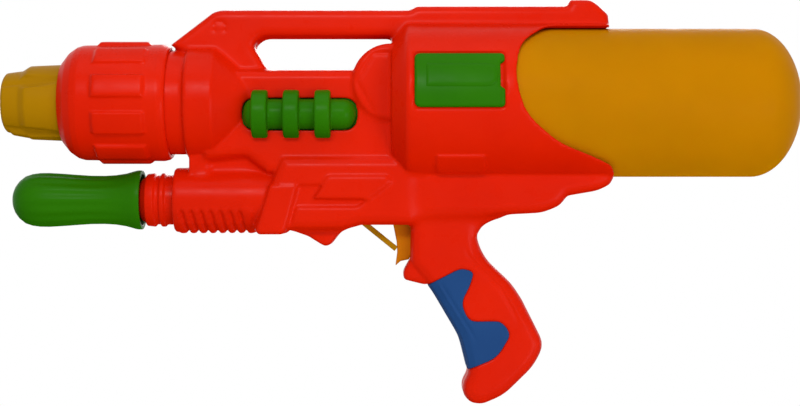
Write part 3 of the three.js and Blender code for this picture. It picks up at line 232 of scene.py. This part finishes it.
# %% The squirter's own finishes
shell_red = plastic(
    "shell_red", (0.72, 0.0135, 0.0004), (0.67, 0.0115, 0.0004), gloss=0.3, shine=0.06)
green = plastic("green", (0.024, 0.165, 0.001), (0.019, 0.145, 0.001), gloss=0.32)
nozzle_yellow = plastic("nozzle_yellow", (0.42, 0.2, 0.0008), (0.38, 0.18, 0.0008), gloss=0.36)
trigger_yellow = plastic(
    "trigger_yellow", (0.62, 0.19, 0.0016), (0.57, 0.17, 0.0016), gloss=0.34)
grip_blue = plastic(
    "grip_blue", (0.016, 0.066, 0.21), (0.013, 0.056, 0.185), gloss=0.42, skin=0.09, skin_size=0.9)
inner_white = plastic(
    "inner_white", (0.78, 0.77, 0.72), (0.72, 0.71, 0.66), gloss=0.45, shine=0.3)
rubber = plastic(
    "rubber", (0.014, 0.014, 0.015), (0.01, 0.01, 0.011), gloss=0.62, skin=0.1, skin_size=0.7)
milky_hose = plastic(
    "milky_hose", (0.62, 0.66, 0.63), (0.56, 0.6, 0.57), gloss=0.32, shine=0.4)
print("finishes:", len(bpy.data.materials))

# %% [markdown]
# The screws and the trigger's pin are plated steel. Rolled steel has a grain along its length,
# which a noise that is stretched on one axis gives.

# %% Steel
GRAIN_STRETCH = (1, 0.15, 1)
steel = plastic(
    "steel", (0.5, 0.51, 0.53), (0.42, 0.43, 0.45), gloss=0.3, skin=0.05, skin_size=0.4, shine=0.5)
steel_tree = steel.node_tree
steel_tree.nodes["Principled BSDF"].inputs["Metallic"].default_value = 1.0
stretch = steel_tree.nodes.new("ShaderNodeMapping")
stretch.inputs["Scale"].default_value = GRAIN_STRETCH
steel_where = next(n for n in steel_tree.nodes if n.type == "TEX_COORD")
steel_tree.links.new(steel_where.outputs["Object"], stretch.inputs["Vector"])
for grain in [n for n in steel_tree.nodes if n.type == "TEX_NOISE"]:
    steel_tree.links.new(stretch.outputs["Vector"], grain.inputs["Vector"])
print("steel finish nodes:", len(steel_tree.nodes))

# %% [markdown]
# The tank is blow moulded from a natural plastic that lets a little light through: the far
# wall glows faintly in it. Light that wanders under the surface is what Subsurface is for.

# %% Tank finish
tank_amber = plastic(
    "tank_amber", (0.54, 0.205, 0.0004), (0.5, 0.19, 0.0004),
    gloss=0.4, skin=0.04, skin_size=2.4, shine=0.012)
tank_tree = tank_amber.node_tree
tank_shader = tank_tree.nodes["Principled BSDF"]
tank_shader.inputs["Subsurface Weight"].default_value = 0.25
tank_shader.inputs["Subsurface Radius"].default_value = (1.0, 0.45, 0.05)
tank_shader.inputs["Subsurface Scale"].default_value = 8 * MM
print("tank finish nodes:", len(tank_tree.nodes))

# %% [markdown]
# ## From a mesh to a piece
# Every finished piece goes the same way: doubles merged, faces turned outwards, shaded smooth
# with only real corners left sharp, then hung on the body it moves with. It replaces the solid
# whose place it takes. Corners are given as the angle in degrees from which they stay sharp:
# wide for a moulded skin, which is round everywhere, and smaller for a turned section.

# %% Finishing a piece
SAME_POINT = 0.002 * MM
SKIN_CORNER, TURNED_CORNER, INSERT_CORNER, PANEL_CORNER = 80, 50, 40, 35


def smooth_object(bm, name, finish, corner):
    for face in bm.faces:
        face.smooth = True
    mesh = bpy.data.meshes.new(name)
    bm.to_mesh(mesh)
    bm.free()
    mesh.set_sharp_from_angle(angle=math.radians(corner))
    mesh.materials.append(finish)
    piece = bpy.data.objects.new(name, mesh)
    bpy.context.scene.collection.objects.link(piece)
    print(name, len(mesh.polygons), "faces")
    return piece


def finish_piece(bm, name, body, finish, replaced, corner):
    bmesh.ops.remove_doubles(bm, verts=bm.verts, dist=SAME_POINT)
    bmesh.ops.recalc_face_normals(bm, faces=bm.faces)
    piece = smooth_object(bm, name, finish, corner)
    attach(piece, body)
    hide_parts(*replaced)
    return piece


# %% [markdown]
# ## The moulded shells
# The two body shells are the hardest shape here: a dozen blocks and turned forms that flow
# into each other. Modelling that flow by hand would take a day of patching. Instead a copy of
# each solid is covered with an even skin of small squares (a voxel remesh), the facets of its
# round parts are pushed out to true circles, and a few passes of smoothing melt every inside
# corner and outside edge into the soft fillets of a mould.


# %% An even skin over a solid
def through(bm, kind, **settings):
    """Runs a mesh through one modifier and gives back what comes out."""
    mesh = bpy.data.meshes.new("carried")
    bm.to_mesh(mesh)
    bm.free()
    carrier = bpy.data.objects.new("carried", mesh)
    bpy.context.scene.collection.objects.link(carrier)
    modifier = carrier.modifiers.new(kind, kind)
    for name, value in settings.items():
        setattr(modifier, name, value)
    out = bmesh.new()
    out.from_object(carrier, bpy.context.evaluated_depsgraph_get())
    bpy.data.objects.remove(carrier)
    return out


def even_skin(node, square):
    bm = bmesh.new()
    bm.from_mesh(nodes[node].data)
    bmesh.ops.remove_doubles(bm, verts=bm.verts, dist=SAME_POINT)
    return through(bm, "REMESH", mode="VOXEL", voxel_size=square * MM)


def thinned(bm, most):
    """Merges triangles, the flattest first, until no more than so many are left."""
    count = sum(len(f.verts) - 2 for f in bm.faces)
    return through(bm, "DECIMATE", ratio=min(1, most / count))


# %% True rounds
SLACK = 0.16


def radius_at(profile, x):
    for (x0, r0), (x1, r1) in zip(profile, profile[1:]):
        if x0 <= x <= x1:
            return r0 + (r1 - r0) * (x - x0) / (x1 - x0)
    return None


def true_round(bm, profile, facets, height, slack=SLACK):
    """Pushes the flats of a turned form about X out to the circle that they stand for."""
    short = math.cos(math.pi / facets)
    for v in bm.verts:
        radius = radius_at(profile, v.co.x / MM)
        if radius is None:
            continue
        arm = Vector((0, v.co.y, v.co.z - height * MM))
        reach = arm.length / MM
        if radius * short - slack < reach < radius + slack:
            arm.length = radius * MM
            v.co = (v.co.x, arm.y, arm.z + height * MM)


def true_disc(bm, centre, radius, facets, half_width):
    """The same for the round boss, whose axis lies along Y."""
    short = math.cos(math.pi / facets)
    middle = Vector((centre[0] * MM, 0, centre[1] * MM))
    for v in bm.verts:
        arm = Vector((v.co.x, 0, v.co.z)) - middle
        near = radius * short - SLACK < arm.length / MM < radius + SLACK
        if near and abs(v.co.y) < half_width * MM:
            arm.length = radius * MM
            v.co = (middle.x + arm.x, v.co.y, middle.z + arm.z)


# %% [markdown]
# Each pass of melting moves a point half of the way to the middle of its neighbours. Where two
# forms of the body meet, a mould has a wider fillet than three passes give. There the skin is
# melted on, inside a few boxes.

# %% Melting
MELT_STRENGTH = 0.5


def melt(bm, verts, passes, across=True):
    for _ in range(passes):
        bmesh.ops.smooth_vert(
            bm, verts=verts, factor=MELT_STRENGTH,
            use_axis_x=True, use_axis_y=across, use_axis_z=True)


def ease(bm, low, high, passes):
    """Melts the seams between two forms inside a box given as X, distance from the middle, Z.

    A box that starts at the middle keeps every point at its own distance from it, so that the
    parting line stays closed.
    """
    inside = []
    for v in bm.verts:
        place = (v.co.x, abs(v.co.y), v.co.z)
        if all(a * MM < c < b * MM for a, c, b in zip(low, place, high)):
            inside.append(v)
    melt(bm, inside, passes, across=low[1] > 0)


# %% [markdown]
# The sides of the grip aren't flat: a crease runs down each of them, and the face falls away
# behind it. The crease is a line in the side view. Every point on the far side of that line
# is drawn in towards the middle, the further the more, up to a limit, and the line itself
# stands a little proud, which is what catches the light. Both fade out at the line's ends.

# %% A crease
GRIP_CREASE = [(-11, 37), (-8, 29.4), (1, 19.5), (12.4, 8.9), (20, -4.7), (25.3, -16.1)]
INLAY_CREASE = [(-3, -27), (-5, -22.2), (-15.6, -5.5), (-26.2, 11.9), (-27, 14)]
CREASE_RISE, CREASE_WIDTH = 0.8 * MM, 1.4 * MM
FOLD_REACH, FOLD_FROM_MIDDLE = 24 * MM, 8 * MM
FOLD_FADE = 5


def fold(bm, line, slope, limit):
    """Draws in what lies to the left of the line, seen from the left side of the toy."""
    points = [Vector(p) * MM for p in line]
    spans = list(zip(points, points[1:]))
    whole = sum((b - a).length for a, b in spans)
    for v in bm.verts:
        here = Vector((v.co.x, v.co.z))
        best, done = None, 0.0
        for a, b in spans:
            run = b - a
            share = min(max((here - a).dot(run) / run.length_squared, 0), 1)
            off = here - (a + share * run)
            if best is None or off.length < best[0]:
                turn = run.x * off.y - run.y * off.x
                best = (off.length, turn, (done + share * run.length) / whole)
            done += run.length
        distance, side, along = best
        if 0 < along < 1 and distance < FOLD_REACH and abs(v.co.y) > FOLD_FROM_MIDDLE:
            fade = min(1, FOLD_FADE * along, FOLD_FADE * (1 - along))
            drop = min(limit * MM, slope * distance) if side > 0 else 0
            drop -= CREASE_RISE * math.exp(-(distance / CREASE_WIDTH) ** 2)
            v.co.y -= math.copysign(drop * fade, v.co.y)


# %% [markdown]
# Now the rounds of the body: the cowl that holds the tank, outside and inside, the neck and
# flange of the nose, and the tube of the pump. Each is a list of places along X with the radius
# there. The two shells are skinned and rounded alike, and thinned at the end, because so fine
# a skin needs its many squares only where it bends.

# %% Rounds and seams of the body
BARREL, PUMP = 128, 65
BARREL_FACETS, TUBE_FACETS = 28, 16
COWL = [(-57.5, 40), (-48, 51), (-46, 51.8), (84.6, 51.8)]
LATCH = [(-31, 53.4), (3, 53.4)]
COWL_INSIDE = [(-40, 48.8), (97, 48.8)]
NECK = [(-214, 33.5), (-189.5, 33.5)]
FLANGE = [(-188, 36.8), (-171, 36.8), (-147, 19)]
TUBE = [(-197, 21), (-125, 21)]
TUBE_INSIDE = [(-199, 18.6), (-127, 18.6)]
TUBE_PAD = [(-194, 21.8), (-146.6, 21.8)]
SEAMS = [
    ((-44, 12, 43), (4, 30, 60), 40),          # top of the grip
    ((-54, 15, 55), (-34, 40, 84), 40),        # below the front of the cowl
    ((-184, 8, 73), (-138, 30, 94), 24),       # pump tube and fore body
    ((-1, 0, 47), (24, 30, 60), 30),           # fillet behind the grip
    ((-146, 0, 142), (-130, 30, 156), 30),     # lower front corner of the window
]
SHELL_TRIANGLES = 190000


# %% Body shells
def body_shell(side):
    node = "body_shell_" + side
    bm = even_skin(node, square=1.05)
    for profile in (COWL, LATCH, COWL_INSIDE, NECK, FLANGE):
        true_round(bm, profile, BARREL_FACETS, BARREL)
    for profile in (TUBE, TUBE_PAD, TUBE_INSIDE):
        true_round(bm, profile, TUBE_FACETS, PUMP)
    true_disc(bm, centre=(-58, 139.8), radius=25, facets=20, half_width=19.5)
    melt(bm, bm.verts, passes=3)
    for low, high, passes in SEAMS:
        ease(bm, low, high, passes)
    fold(bm, GRIP_CREASE, slope=0.18, limit=2.2)
    bm = thinned(bm, SHELL_TRIANGLES)
    return finish_piece(
        bm, "shell_" + side, "body", shell_red, [node], SKIN_CORNER)


shells = [body_shell(side) for side in ("left", "right")]
print("shell triangles:", [sum(len(p.vertices) - 2 for p in s.data.polygons) for s in shells])

# %% [markdown]
# ## Collar and nozzle
# The collar in front of the body is one moulding with raised grip pads round it, and the
# yellow nozzle in it has four broad lobes, of which one runs on to the tip. Both get the same
# skin, on a finer grid because their edges are crisper.

# %% Collar
COLLAR = [(-270, 26.4), (-265, 32.6), (-260, 36.1), (-256, 37.2), (-205, 37.8), (-201.5, 37),
          (-200, 35.6)]
COLLAR_PADS = [(-245, 39.6), (-214, 39.6)]
bm = even_skin("nozzle_collar", square=0.75)
true_round(bm, COLLAR, BARREL_FACETS, BARREL, slack=0.12)
true_round(bm, COLLAR_PADS, 32, BARREL, slack=0.1)
melt(bm, bm.verts, passes=3)
finish_piece(bm, "collar", "body", shell_red, ["nozzle_collar"], SKIN_CORNER)

# %% Nozzle
NOZZLE = [(-308, 17.1), (-306.4, 19.3), (-296, 20.6), (-291, 23.8), (-268, 24.8)]
LONG_LOBE = [(-305.5, 17.9), (-303, 21.1), (-290, 23.4)]
bm = even_skin("nozzle", square=0.6)
for profile in (NOZZLE, LONG_LOBE):
    true_round(bm, profile, BARREL_FACETS, BARREL, slack=0.12)
melt(bm, bm.verts, passes=5)
finish_piece(
    bm, "lobed_nozzle", "nozzle", nozzle_yellow, ["nozzle"], SKIN_CORNER)

# %% [markdown]
# ## Turned pieces
# The tank, the pump's handle and the cap on its tube are bodies of revolution. The natural way
# is the one a lathe takes: draw half the section, then spin it about the axis. The spin's last
# ring is merged with its first, so there is no seam. Corners are rounded afterwards with a
# bevel on the rings that are sharp.


# %% Spinning a section
def spun(section, height, steps, y=0.0):
    bm = bmesh.new()
    points = [bm.verts.new((x * MM, y * MM, (height + r) * MM)) for x, r in section]
    lines = [bm.edges.new(pair) for pair in zip(points, points[1:])]
    bmesh.ops.spin(
        bm, geom=points + lines, cent=(0, y * MM, height * MM), axis=(1, 0, 0),
        angle=math.tau, steps=steps, use_merge=True)
    bmesh.ops.remove_doubles(bm, verts=bm.verts, dist=SAME_POINT)
    bmesh.ops.recalc_face_normals(bm, faces=bm.faces)
    return bm


def round_off(bm, edges, width, segments=3):
    bmesh.ops.bevel(
        bm, geom=edges, offset=width * MM, offset_type="OFFSET", affect="EDGES",
        segments=segments, profile=0.5, material=-1, clamp_overlap=True)


def soften_corners(bm, width, sharper_than, segments=3):
    sharp = [e for e in bm.edges
             if len(e.link_faces) == 2 and e.calc_face_angle(0) > math.radians(sharper_than)]
    round_off(bm, sharp, width, segments)


def quarter(x, depth, radius, inner, count):
    """Points of an elliptical quarter, from its rim at x to a smaller radius."""
    last = math.acos(inner / radius)
    return [(x + depth * math.sin(last * i / count), radius * math.cos(last * i / count))
            for i in range(count + 1)]


# %% [markdown]
# The tank is a bottle: a short neck that screws on inside the cowl, a shoulder, a straight
# wall and a domed end. It has a thin wall, so its section is drawn once along the outside and
# back along the inside.

# %% Tank
TANK_RADIUS, TANK_WALL = 48, 2
MOUTH, MOUTH_RADIUS, MOUTH_BORE = -31.6, 15, 12
SHOULDER, SHOULDER_DEPTH = 8, 20
DOME, DOME_DEPTH = 175.7, 31
outside = [(MOUTH, MOUTH_RADIUS)]
outside += quarter(SHOULDER, -SHOULDER_DEPTH, TANK_RADIUS, MOUTH_RADIUS, count=14)[::-1]
outside += quarter(DOME, DOME_DEPTH, TANK_RADIUS, 0, count=22)
bore = TANK_RADIUS - TANK_WALL
inside = quarter(DOME, DOME_DEPTH - TANK_WALL, bore, 0, count=12)[::-1]
inside += quarter(SHOULDER, TANK_WALL - SHOULDER_DEPTH, bore, MOUTH_BORE, count=8)
inside += [(MOUTH, MOUTH_BORE)]
bm = spun(outside + inside + outside[:1], BARREL, steps=128)
finish_piece(bm, "amber_tank", "tank", tank_amber, ["tank"], TURNED_CORNER)

# %% [markdown]
# The handle is a slim bell with shallow flutes along it for wet fingers. After the spin, each
# ring of points is drawn in and out by a cosine that fades at both ends, which keeps the round
# nose and the rim plain.

# %% Pump handle
HANDLE_NOSE, HANDLE_END = -303.0, -219.0
HANDLE = [(0, 0), (0.6, 6.1), (2, 9.2), (4.5, 12.4), (8.5, 15.5), (13, 17.0), (18, 17.7),
          (24, 17.8), (33, 17.3), (42, 16.6), (51, 16.0), (60, 15.9), (67, 16.3), (73.5, 17.2),
          (77.5, 18.3), (80, 19.0), (81.5, 19.2), (84, 19.2), (84, 16.6), (75.5, 15), (52, 13.2),
          (16, 13.4), (11, 8.3), (41, 8.3), (41, 5.3), (13.7, 5.3), (13.7, 0)]
FLUTES, FLUTE_DEPTH, FLUTED_BEYOND = 14, 0.34, 15.2
FLUTE_START, FLUTE_END, FLUTE_FADE = 0.08, 0.88, 0.7
bm = spun([(HANDLE_NOSE + x, r) for x, r in HANDLE], PUMP, steps=144)
soften_corners(bm, width=0.5, sharper_than=45)
for v in bm.verts:
    arm = Vector((0, v.co.y, v.co.z - PUMP * MM))
    along = (v.co.x / MM - HANDLE_NOSE) / (HANDLE_END - HANDLE_NOSE)
    if arm.length > FLUTED_BEYOND * MM and FLUTE_START < along < FLUTE_END:
        share = (along - FLUTE_START) / (FLUTE_END - FLUTE_START)
        fade = math.sin(math.pi * share) ** FLUTE_FADE
        wave = 1 + math.cos(FLUTES * math.atan2(arm.y, arm.z))
        arm.length -= FLUTE_DEPTH * MM * fade * wave
        v.co = (v.co.x, arm.y, arm.z + PUMP * MM)
finish_piece(bm, "pump_grip", "pump", green, ["pump_handle"], TURNED_CORNER)

# %% [markdown]
# The cap that closes the pump's tube carries two rings to grip it by, and the pump's rod slides
# through its middle. Its section has plain corners, and the bevel rounds them all alike.

# %% Pump tube's cap
CAP_RING = -217.0
CAP = [(-4.5, 5.3), (-4.5, 9), (-3.2, 12), (-1.4, 13.7), (0, 14.6), (1.5, 16.9), (6.4, 17.4),
       (7.6, 15.9), (9.8, 15.9), (10.8, 17.4), (13, 17.4), (14.2, 16), (24, 16), (24, 14.8),
       (20.7, 14.8), (20.7, 7.4), (17.7, 7.4), (17.7, 5.3), (-4.5, 5.3)]
bm = spun([(CAP_RING + x, r) for x, r in CAP], PUMP, steps=96)
soften_corners(bm, width=0.45, sharper_than=28)
finish_piece(bm, "tube_cap", "body", shell_red, ["pump_end_cap"], TURNED_CORNER)

# %% [markdown]
# ## Ribbed inserts
# A green insert shows on each side of the fore body: a rod with round ends and three broad
# rings. Only its outer half shows, so the whole thing is spun, and a plane cuts away what
# would lie behind the wall. The rod alone goes on through the slot to a flat flange, which
# holds it from inside.

# %% Cutting and joining
ON_PLANE = 0.001 * MM


def slice_at(bm, place, normal, **clear):
    """Cuts every face at a plane. clear says which side goes, if any."""
    geometry = bm.verts[:] + bm.edges[:] + bm.faces[:]
    bmesh.ops.bisect_plane(
        bm, geom=geometry, dist=ON_PLANE, plane_co=place, plane_no=normal, **clear)


def cut_off(bm, y, keep_outer):
    """Cuts at a plane of constant Y and closes the cut. keep_outer keeps the larger Y."""
    slice_at(bm, (0, y * MM, 0), (0, 1, 0), clear_inner=keep_outer, clear_outer=not keep_outer)
    rim = [e for e in bm.edges if e.is_boundary]
    bmesh.ops.holes_fill(bm, edges=rim, sides=0)


def add_to(bm, other):
    carrier = bpy.data.meshes.new("carrier")
    other.to_mesh(carrier)
    other.free()
    bm.from_mesh(carrier)
    bpy.data.meshes.remove(carrier)


# %% Sections of the insert
INSERT, INSERT_END, INSERT_HEIGHT, WALL = -152.0, -80.0, 119.7, 20.0
ROD_RADIUS, ROD_NOSE, ROD_TAIL = 9.4, 6, 8
RING_FOOT, RING_RADIUS, RING_HALF = 9.3, 15.3, 5
RING_MIDDLES, TO_FIRST_RING = (-141.2, -121.2, -101.2), 5.8
rings = []
for middle in RING_MIDDLES:
    front, rear = middle - RING_HALF, middle + RING_HALF
    rings += [(front, RING_FOOT), (front, RING_RADIUS), (rear, RING_RADIUS), (rear, RING_FOOT)]
tail = quarter(INSERT_END - ROD_TAIL, ROD_TAIL, ROD_RADIUS, 0, count=8)
rod_section = quarter(INSERT + ROD_NOSE, -ROD_NOSE, ROD_RADIUS, 0, count=6)[::-1] + tail
short_nose = quarter(INSERT + TO_FIRST_RING, -TO_FIRST_RING, ROD_RADIUS, 0, count=6)[::-1][:-1]
ringed_section = short_nose + rings + tail
print("points in the sections:", len(rod_section), len(ringed_section))

# %% Two inserts
INSERT_STEPS = 72
PROUD, BEHIND_WALL = 0.3, 4.7
INSERT_FLANGE = (79, 2, 26)


def ribbed_insert(side, sign):
    face, back = sign * (WALL + PROUD), sign * (WALL - BEHIND_WALL)
    outer = spun(ringed_section, INSERT_HEIGHT, INSERT_STEPS, sign * WALL)
    soften_corners(outer, width=1.6, sharper_than=40, segments=4)
    cut_off(outer, face, sign > 0)
    inner = spun(rod_section, INSERT_HEIGHT, INSERT_STEPS, sign * WALL)
    cut_off(inner, face, sign < 0)
    cut_off(inner, back, sign > 0)
    add_to(outer, inner)
    long, thick, tall = INSERT_FLANGE
    flange = bmesh.new()
    bmesh.ops.create_cube(
        flange, size=1, matrix=Matrix.Diagonal((long * MM, thick * MM, tall * MM, 1)))
    bmesh.ops.translate(
        flange, verts=flange.verts,
        vec=((INSERT + INSERT_END) / 2 * MM, (back + sign * thick / 2) * MM, INSERT_HEIGHT * MM))
    add_to(outer, flange)
    node = "ribbed_insert_" + side
    finish_piece(outer, "ringed_insert_" + side, "body", green, [node], INSERT_CORNER)


for side, sign in (("left", -1), ("right", 1)):
    ribbed_insert(side, sign)

# %% [markdown]
# ## Side panels
# The green panel on the cowl is a thin plate bent round it, with a rounded border, a notch in
# its rear edge and a low bullet-shaped tongue on its face. It is easiest to make flat. The
# outline is drawn several times, one above the other and each a little smaller than the last,
# so that faces spanned between them roll over at the rim. Then the plate is sliced into strips
# so that it can bend, and rolled round the cowl's axis.

# %% Outlines of the panel
PANEL_X, PANEL_LOW, PANEL_TOP = -43.0, -6.0, 29
COWL_RADIUS, PANEL_RADIUS = 51.8, 53
PANEL_START = math.asin(PANEL_LOW / PANEL_RADIUS)
PANEL_TALL = COWL_RADIUS * (math.asin(PANEL_TOP / PANEL_RADIUS) - PANEL_START)
PANEL_LONG, FRONT_ROUND, REAR_ROUND = 56, 4.2, 3
NOTCH_FLOOR, NOTCH_LOW, NOTCH_HIGH, NOTCH_ROUND = 53.2, 12.2, 29.4, 1
BULLET_LOW, BULLET_HIGH, BULLET_NOSE, BULLET_ROUND = (7, 12.4), (52, 28), 7.7, 1


def curved(corners, steps=5):
    """Rounds each corner (x, y, reach) of an outline with a short curve."""
    points = [Vector(c[:2]) for c in corners]
    reaches = [c[2] for c in corners]
    out = []
    for i, (here, reach) in enumerate(zip(points, reaches)):
        start = here + (points[i - 1] - here).normalized() * reach
        end = here + (points[(i + 1) % len(points)] - here).normalized() * reach
        for k in range(steps + 1):
            t = k / steps
            out.append((1 - t) ** 2 * start + 2 * t * (1 - t) * here + t * t * end)
    return out


def border(d):
    """The panel's outline, drawn in by d, with the notch in its rear edge."""
    right, notch, tall = PANEL_LONG - d, NOTCH_FLOOR - d, PANEL_TALL - d
    low, high = NOTCH_LOW - d / 2, NOTCH_HIGH + d / 2
    front, rear, small = FRONT_ROUND - d, REAR_ROUND - d, NOTCH_ROUND
    return curved([
        (d, d, front), (right, d, rear), (right, low - small, small), (notch, low + small, small),
        (notch, high - small, small), (right, high + small, small), (right, tall, rear),
        (d, tall, front)])


def bullet(d):
    """The raised bullet in the panel's middle, drawn in by d."""
    (left, low), (right, high) = BULLET_LOW, BULLET_HIGH
    left, low, right, high, nose = left + d, low + d, right - d, high - d, BULLET_NOSE - d
    return curved([
        (left, low, BULLET_ROUND), (right, low, nose), (right, high, nose),
        (left, high, BULLET_ROUND)])


# %% A plate that bends
RIM_DEGREES = range(0, 91, 15)
STRIPS = 18


def plate(outline, low, high, rim_wide, rim_tall):
    """A plate whose rim rolls over in a quarter of an ellipse, as rows of points."""
    bm = bmesh.new()
    levels = [(0, low)]
    for a in [math.radians(d) for d in RIM_DEGREES]:
        levels.append((rim_wide * (1 - math.cos(a)), high - rim_tall * (1 - math.sin(a))))
    rows = [[bm.verts.new((x * MM, s * MM, z * MM)) for x, s in outline(d)] for d, z in levels]
    for below, above in zip(rows, rows[1:]):
        for i in range(len(below)):
            bm.faces.new((below[i - 1], below[i], above[i], above[i - 1]))
    bm.faces.new(rows[0][::-1])
    bm.faces.new(rows[-1])
    bmesh.ops.recalc_face_normals(bm, faces=bm.faces)
    return bm


def rolled(bm, sign):
    """Slices the plate into strips and rolls it round the cowl's axis, onto the side of sign."""
    for i in range(1, STRIPS):
        slice_at(bm, (0, PANEL_TALL * i / STRIPS * MM, 0), (0, 1, 0))
    for v in bm.verts:
        turn = PANEL_START + v.co.y / (COWL_RADIUS * MM)
        out, up = v.co.z * math.cos(turn), v.co.z * math.sin(turn)
        v.co = (v.co.x + PANEL_X * MM, sign * out, up + BARREL * MM)


# %% Two panels
for side, sign in (("left", -1), ("right", 1)):
    bm = plate(border, low=50.3, high=52.7, rim_wide=2.2, rim_tall=1.6)
    add_to(bm, plate(bullet, low=52.0, high=53.45, rim_wide=3.2, rim_tall=1.2))
    rolled(bm, sign)
    node = "side_panel_" + side
    finish_piece(bm, "cowl_panel_" + side, "body", green, [node], PANEL_CORNER)

# %% [markdown]
# ## Grip inlay and trigger
# The blue inlay wraps the front of the grip and the trigger hangs in front of it. Both are
# small enough for a very fine skin, which rounds their edges as a mould would. The inlay takes
# a crease as the grip does.

# %% Inlay
bm = even_skin("grip_inlay", square=0.5)
melt(bm, bm.verts, passes=5)
fold(bm, INLAY_CREASE, slope=0.16, limit=1.6)
finish_piece(bm, "blue_inlay", "body", grip_blue, ["grip_inlay"], SKIN_CORNER)

# %% Trigger
bm = even_skin("trigger", square=0.4)
melt(bm, bm.verts, passes=4)
finish_piece(
    bm, "pull_trigger", "trigger", trigger_yellow, ["trigger"], SKIN_CORNER)

# %% [markdown]
# The leaf spring is moulded with the trigger: a thin strip from under the body to the
# trigger's foot. It bends when the trigger is pulled. Here the strip is cut into short
# lengths along its run.

# %% Leaf spring
LEAF_WIDE, LEAF_THICK, LEAF_ROUND, LEAF_LENGTHS = 6, 3.4, 0.5, 16
low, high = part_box("trigger_leaf_spring")
LEAF_TOP = Vector((low[0] + 1.0 * MM, 0, high[2] - 1.2 * MM))
LEAF_FOOT = Vector((high[0] - 0.4 * MM, 0, low[2] + 1.6 * MM))
run = LEAF_FOOT - LEAF_TOP
bm = bmesh.new()
bmesh.ops.create_cube(
    bm, size=1, matrix=Matrix.Diagonal((run.length, LEAF_WIDE * MM, LEAF_THICK * MM, 1)))
lengthwise = [e for e in bm.edges if abs(e.verts[0].co.x - e.verts[1].co.x) > 0.5 * run.length]
round_off(bm, lengthwise, LEAF_ROUND)
for i in range(1, LEAF_LENGTHS):
    slice_at(bm, ((i / LEAF_LENGTHS - 0.5) * run.length, 0, 0), (1, 0, 0))
turn = Matrix.Rotation(math.atan2(-run.z, run.x), 4, "Y")
middle = Matrix.Translation((LEAF_TOP + LEAF_FOOT) / 2)
bmesh.ops.transform(bm, verts=bm.verts, matrix=middle @ turn)
leaf = smooth_object(bm, "leaf_spring", nozzle_yellow, TURNED_CORNER)
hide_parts("trigger_leaf_spring")
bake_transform(leaf)
print("leaf spring", round(run.length / MM, 1), "mm long")

# %% [markdown]
# ## What lies inside
# The pump's cylinder, the valves, seals and hoses keep their solids, because their shapes are
# right and a body that is closed hides them. So do the screws and the trigger's pin, of which
# little more than the ends show. They only get their finishes.

# %% Finishes for the solids that stay
by_slot = {
    "white_plastic": inner_white, "rubber": rubber, "clear_hose": milky_hose, "steel": steel}
kept = 0
for entry in frame["record"]["subparts"]:
    look = by_slot.get(entry["material_slot"])
    if look:
        nodes[entry["node"]].data.materials.clear()
        nodes[entry["node"]].data.materials.append(look)
        kept += 1
print("solids that stay:", kept)
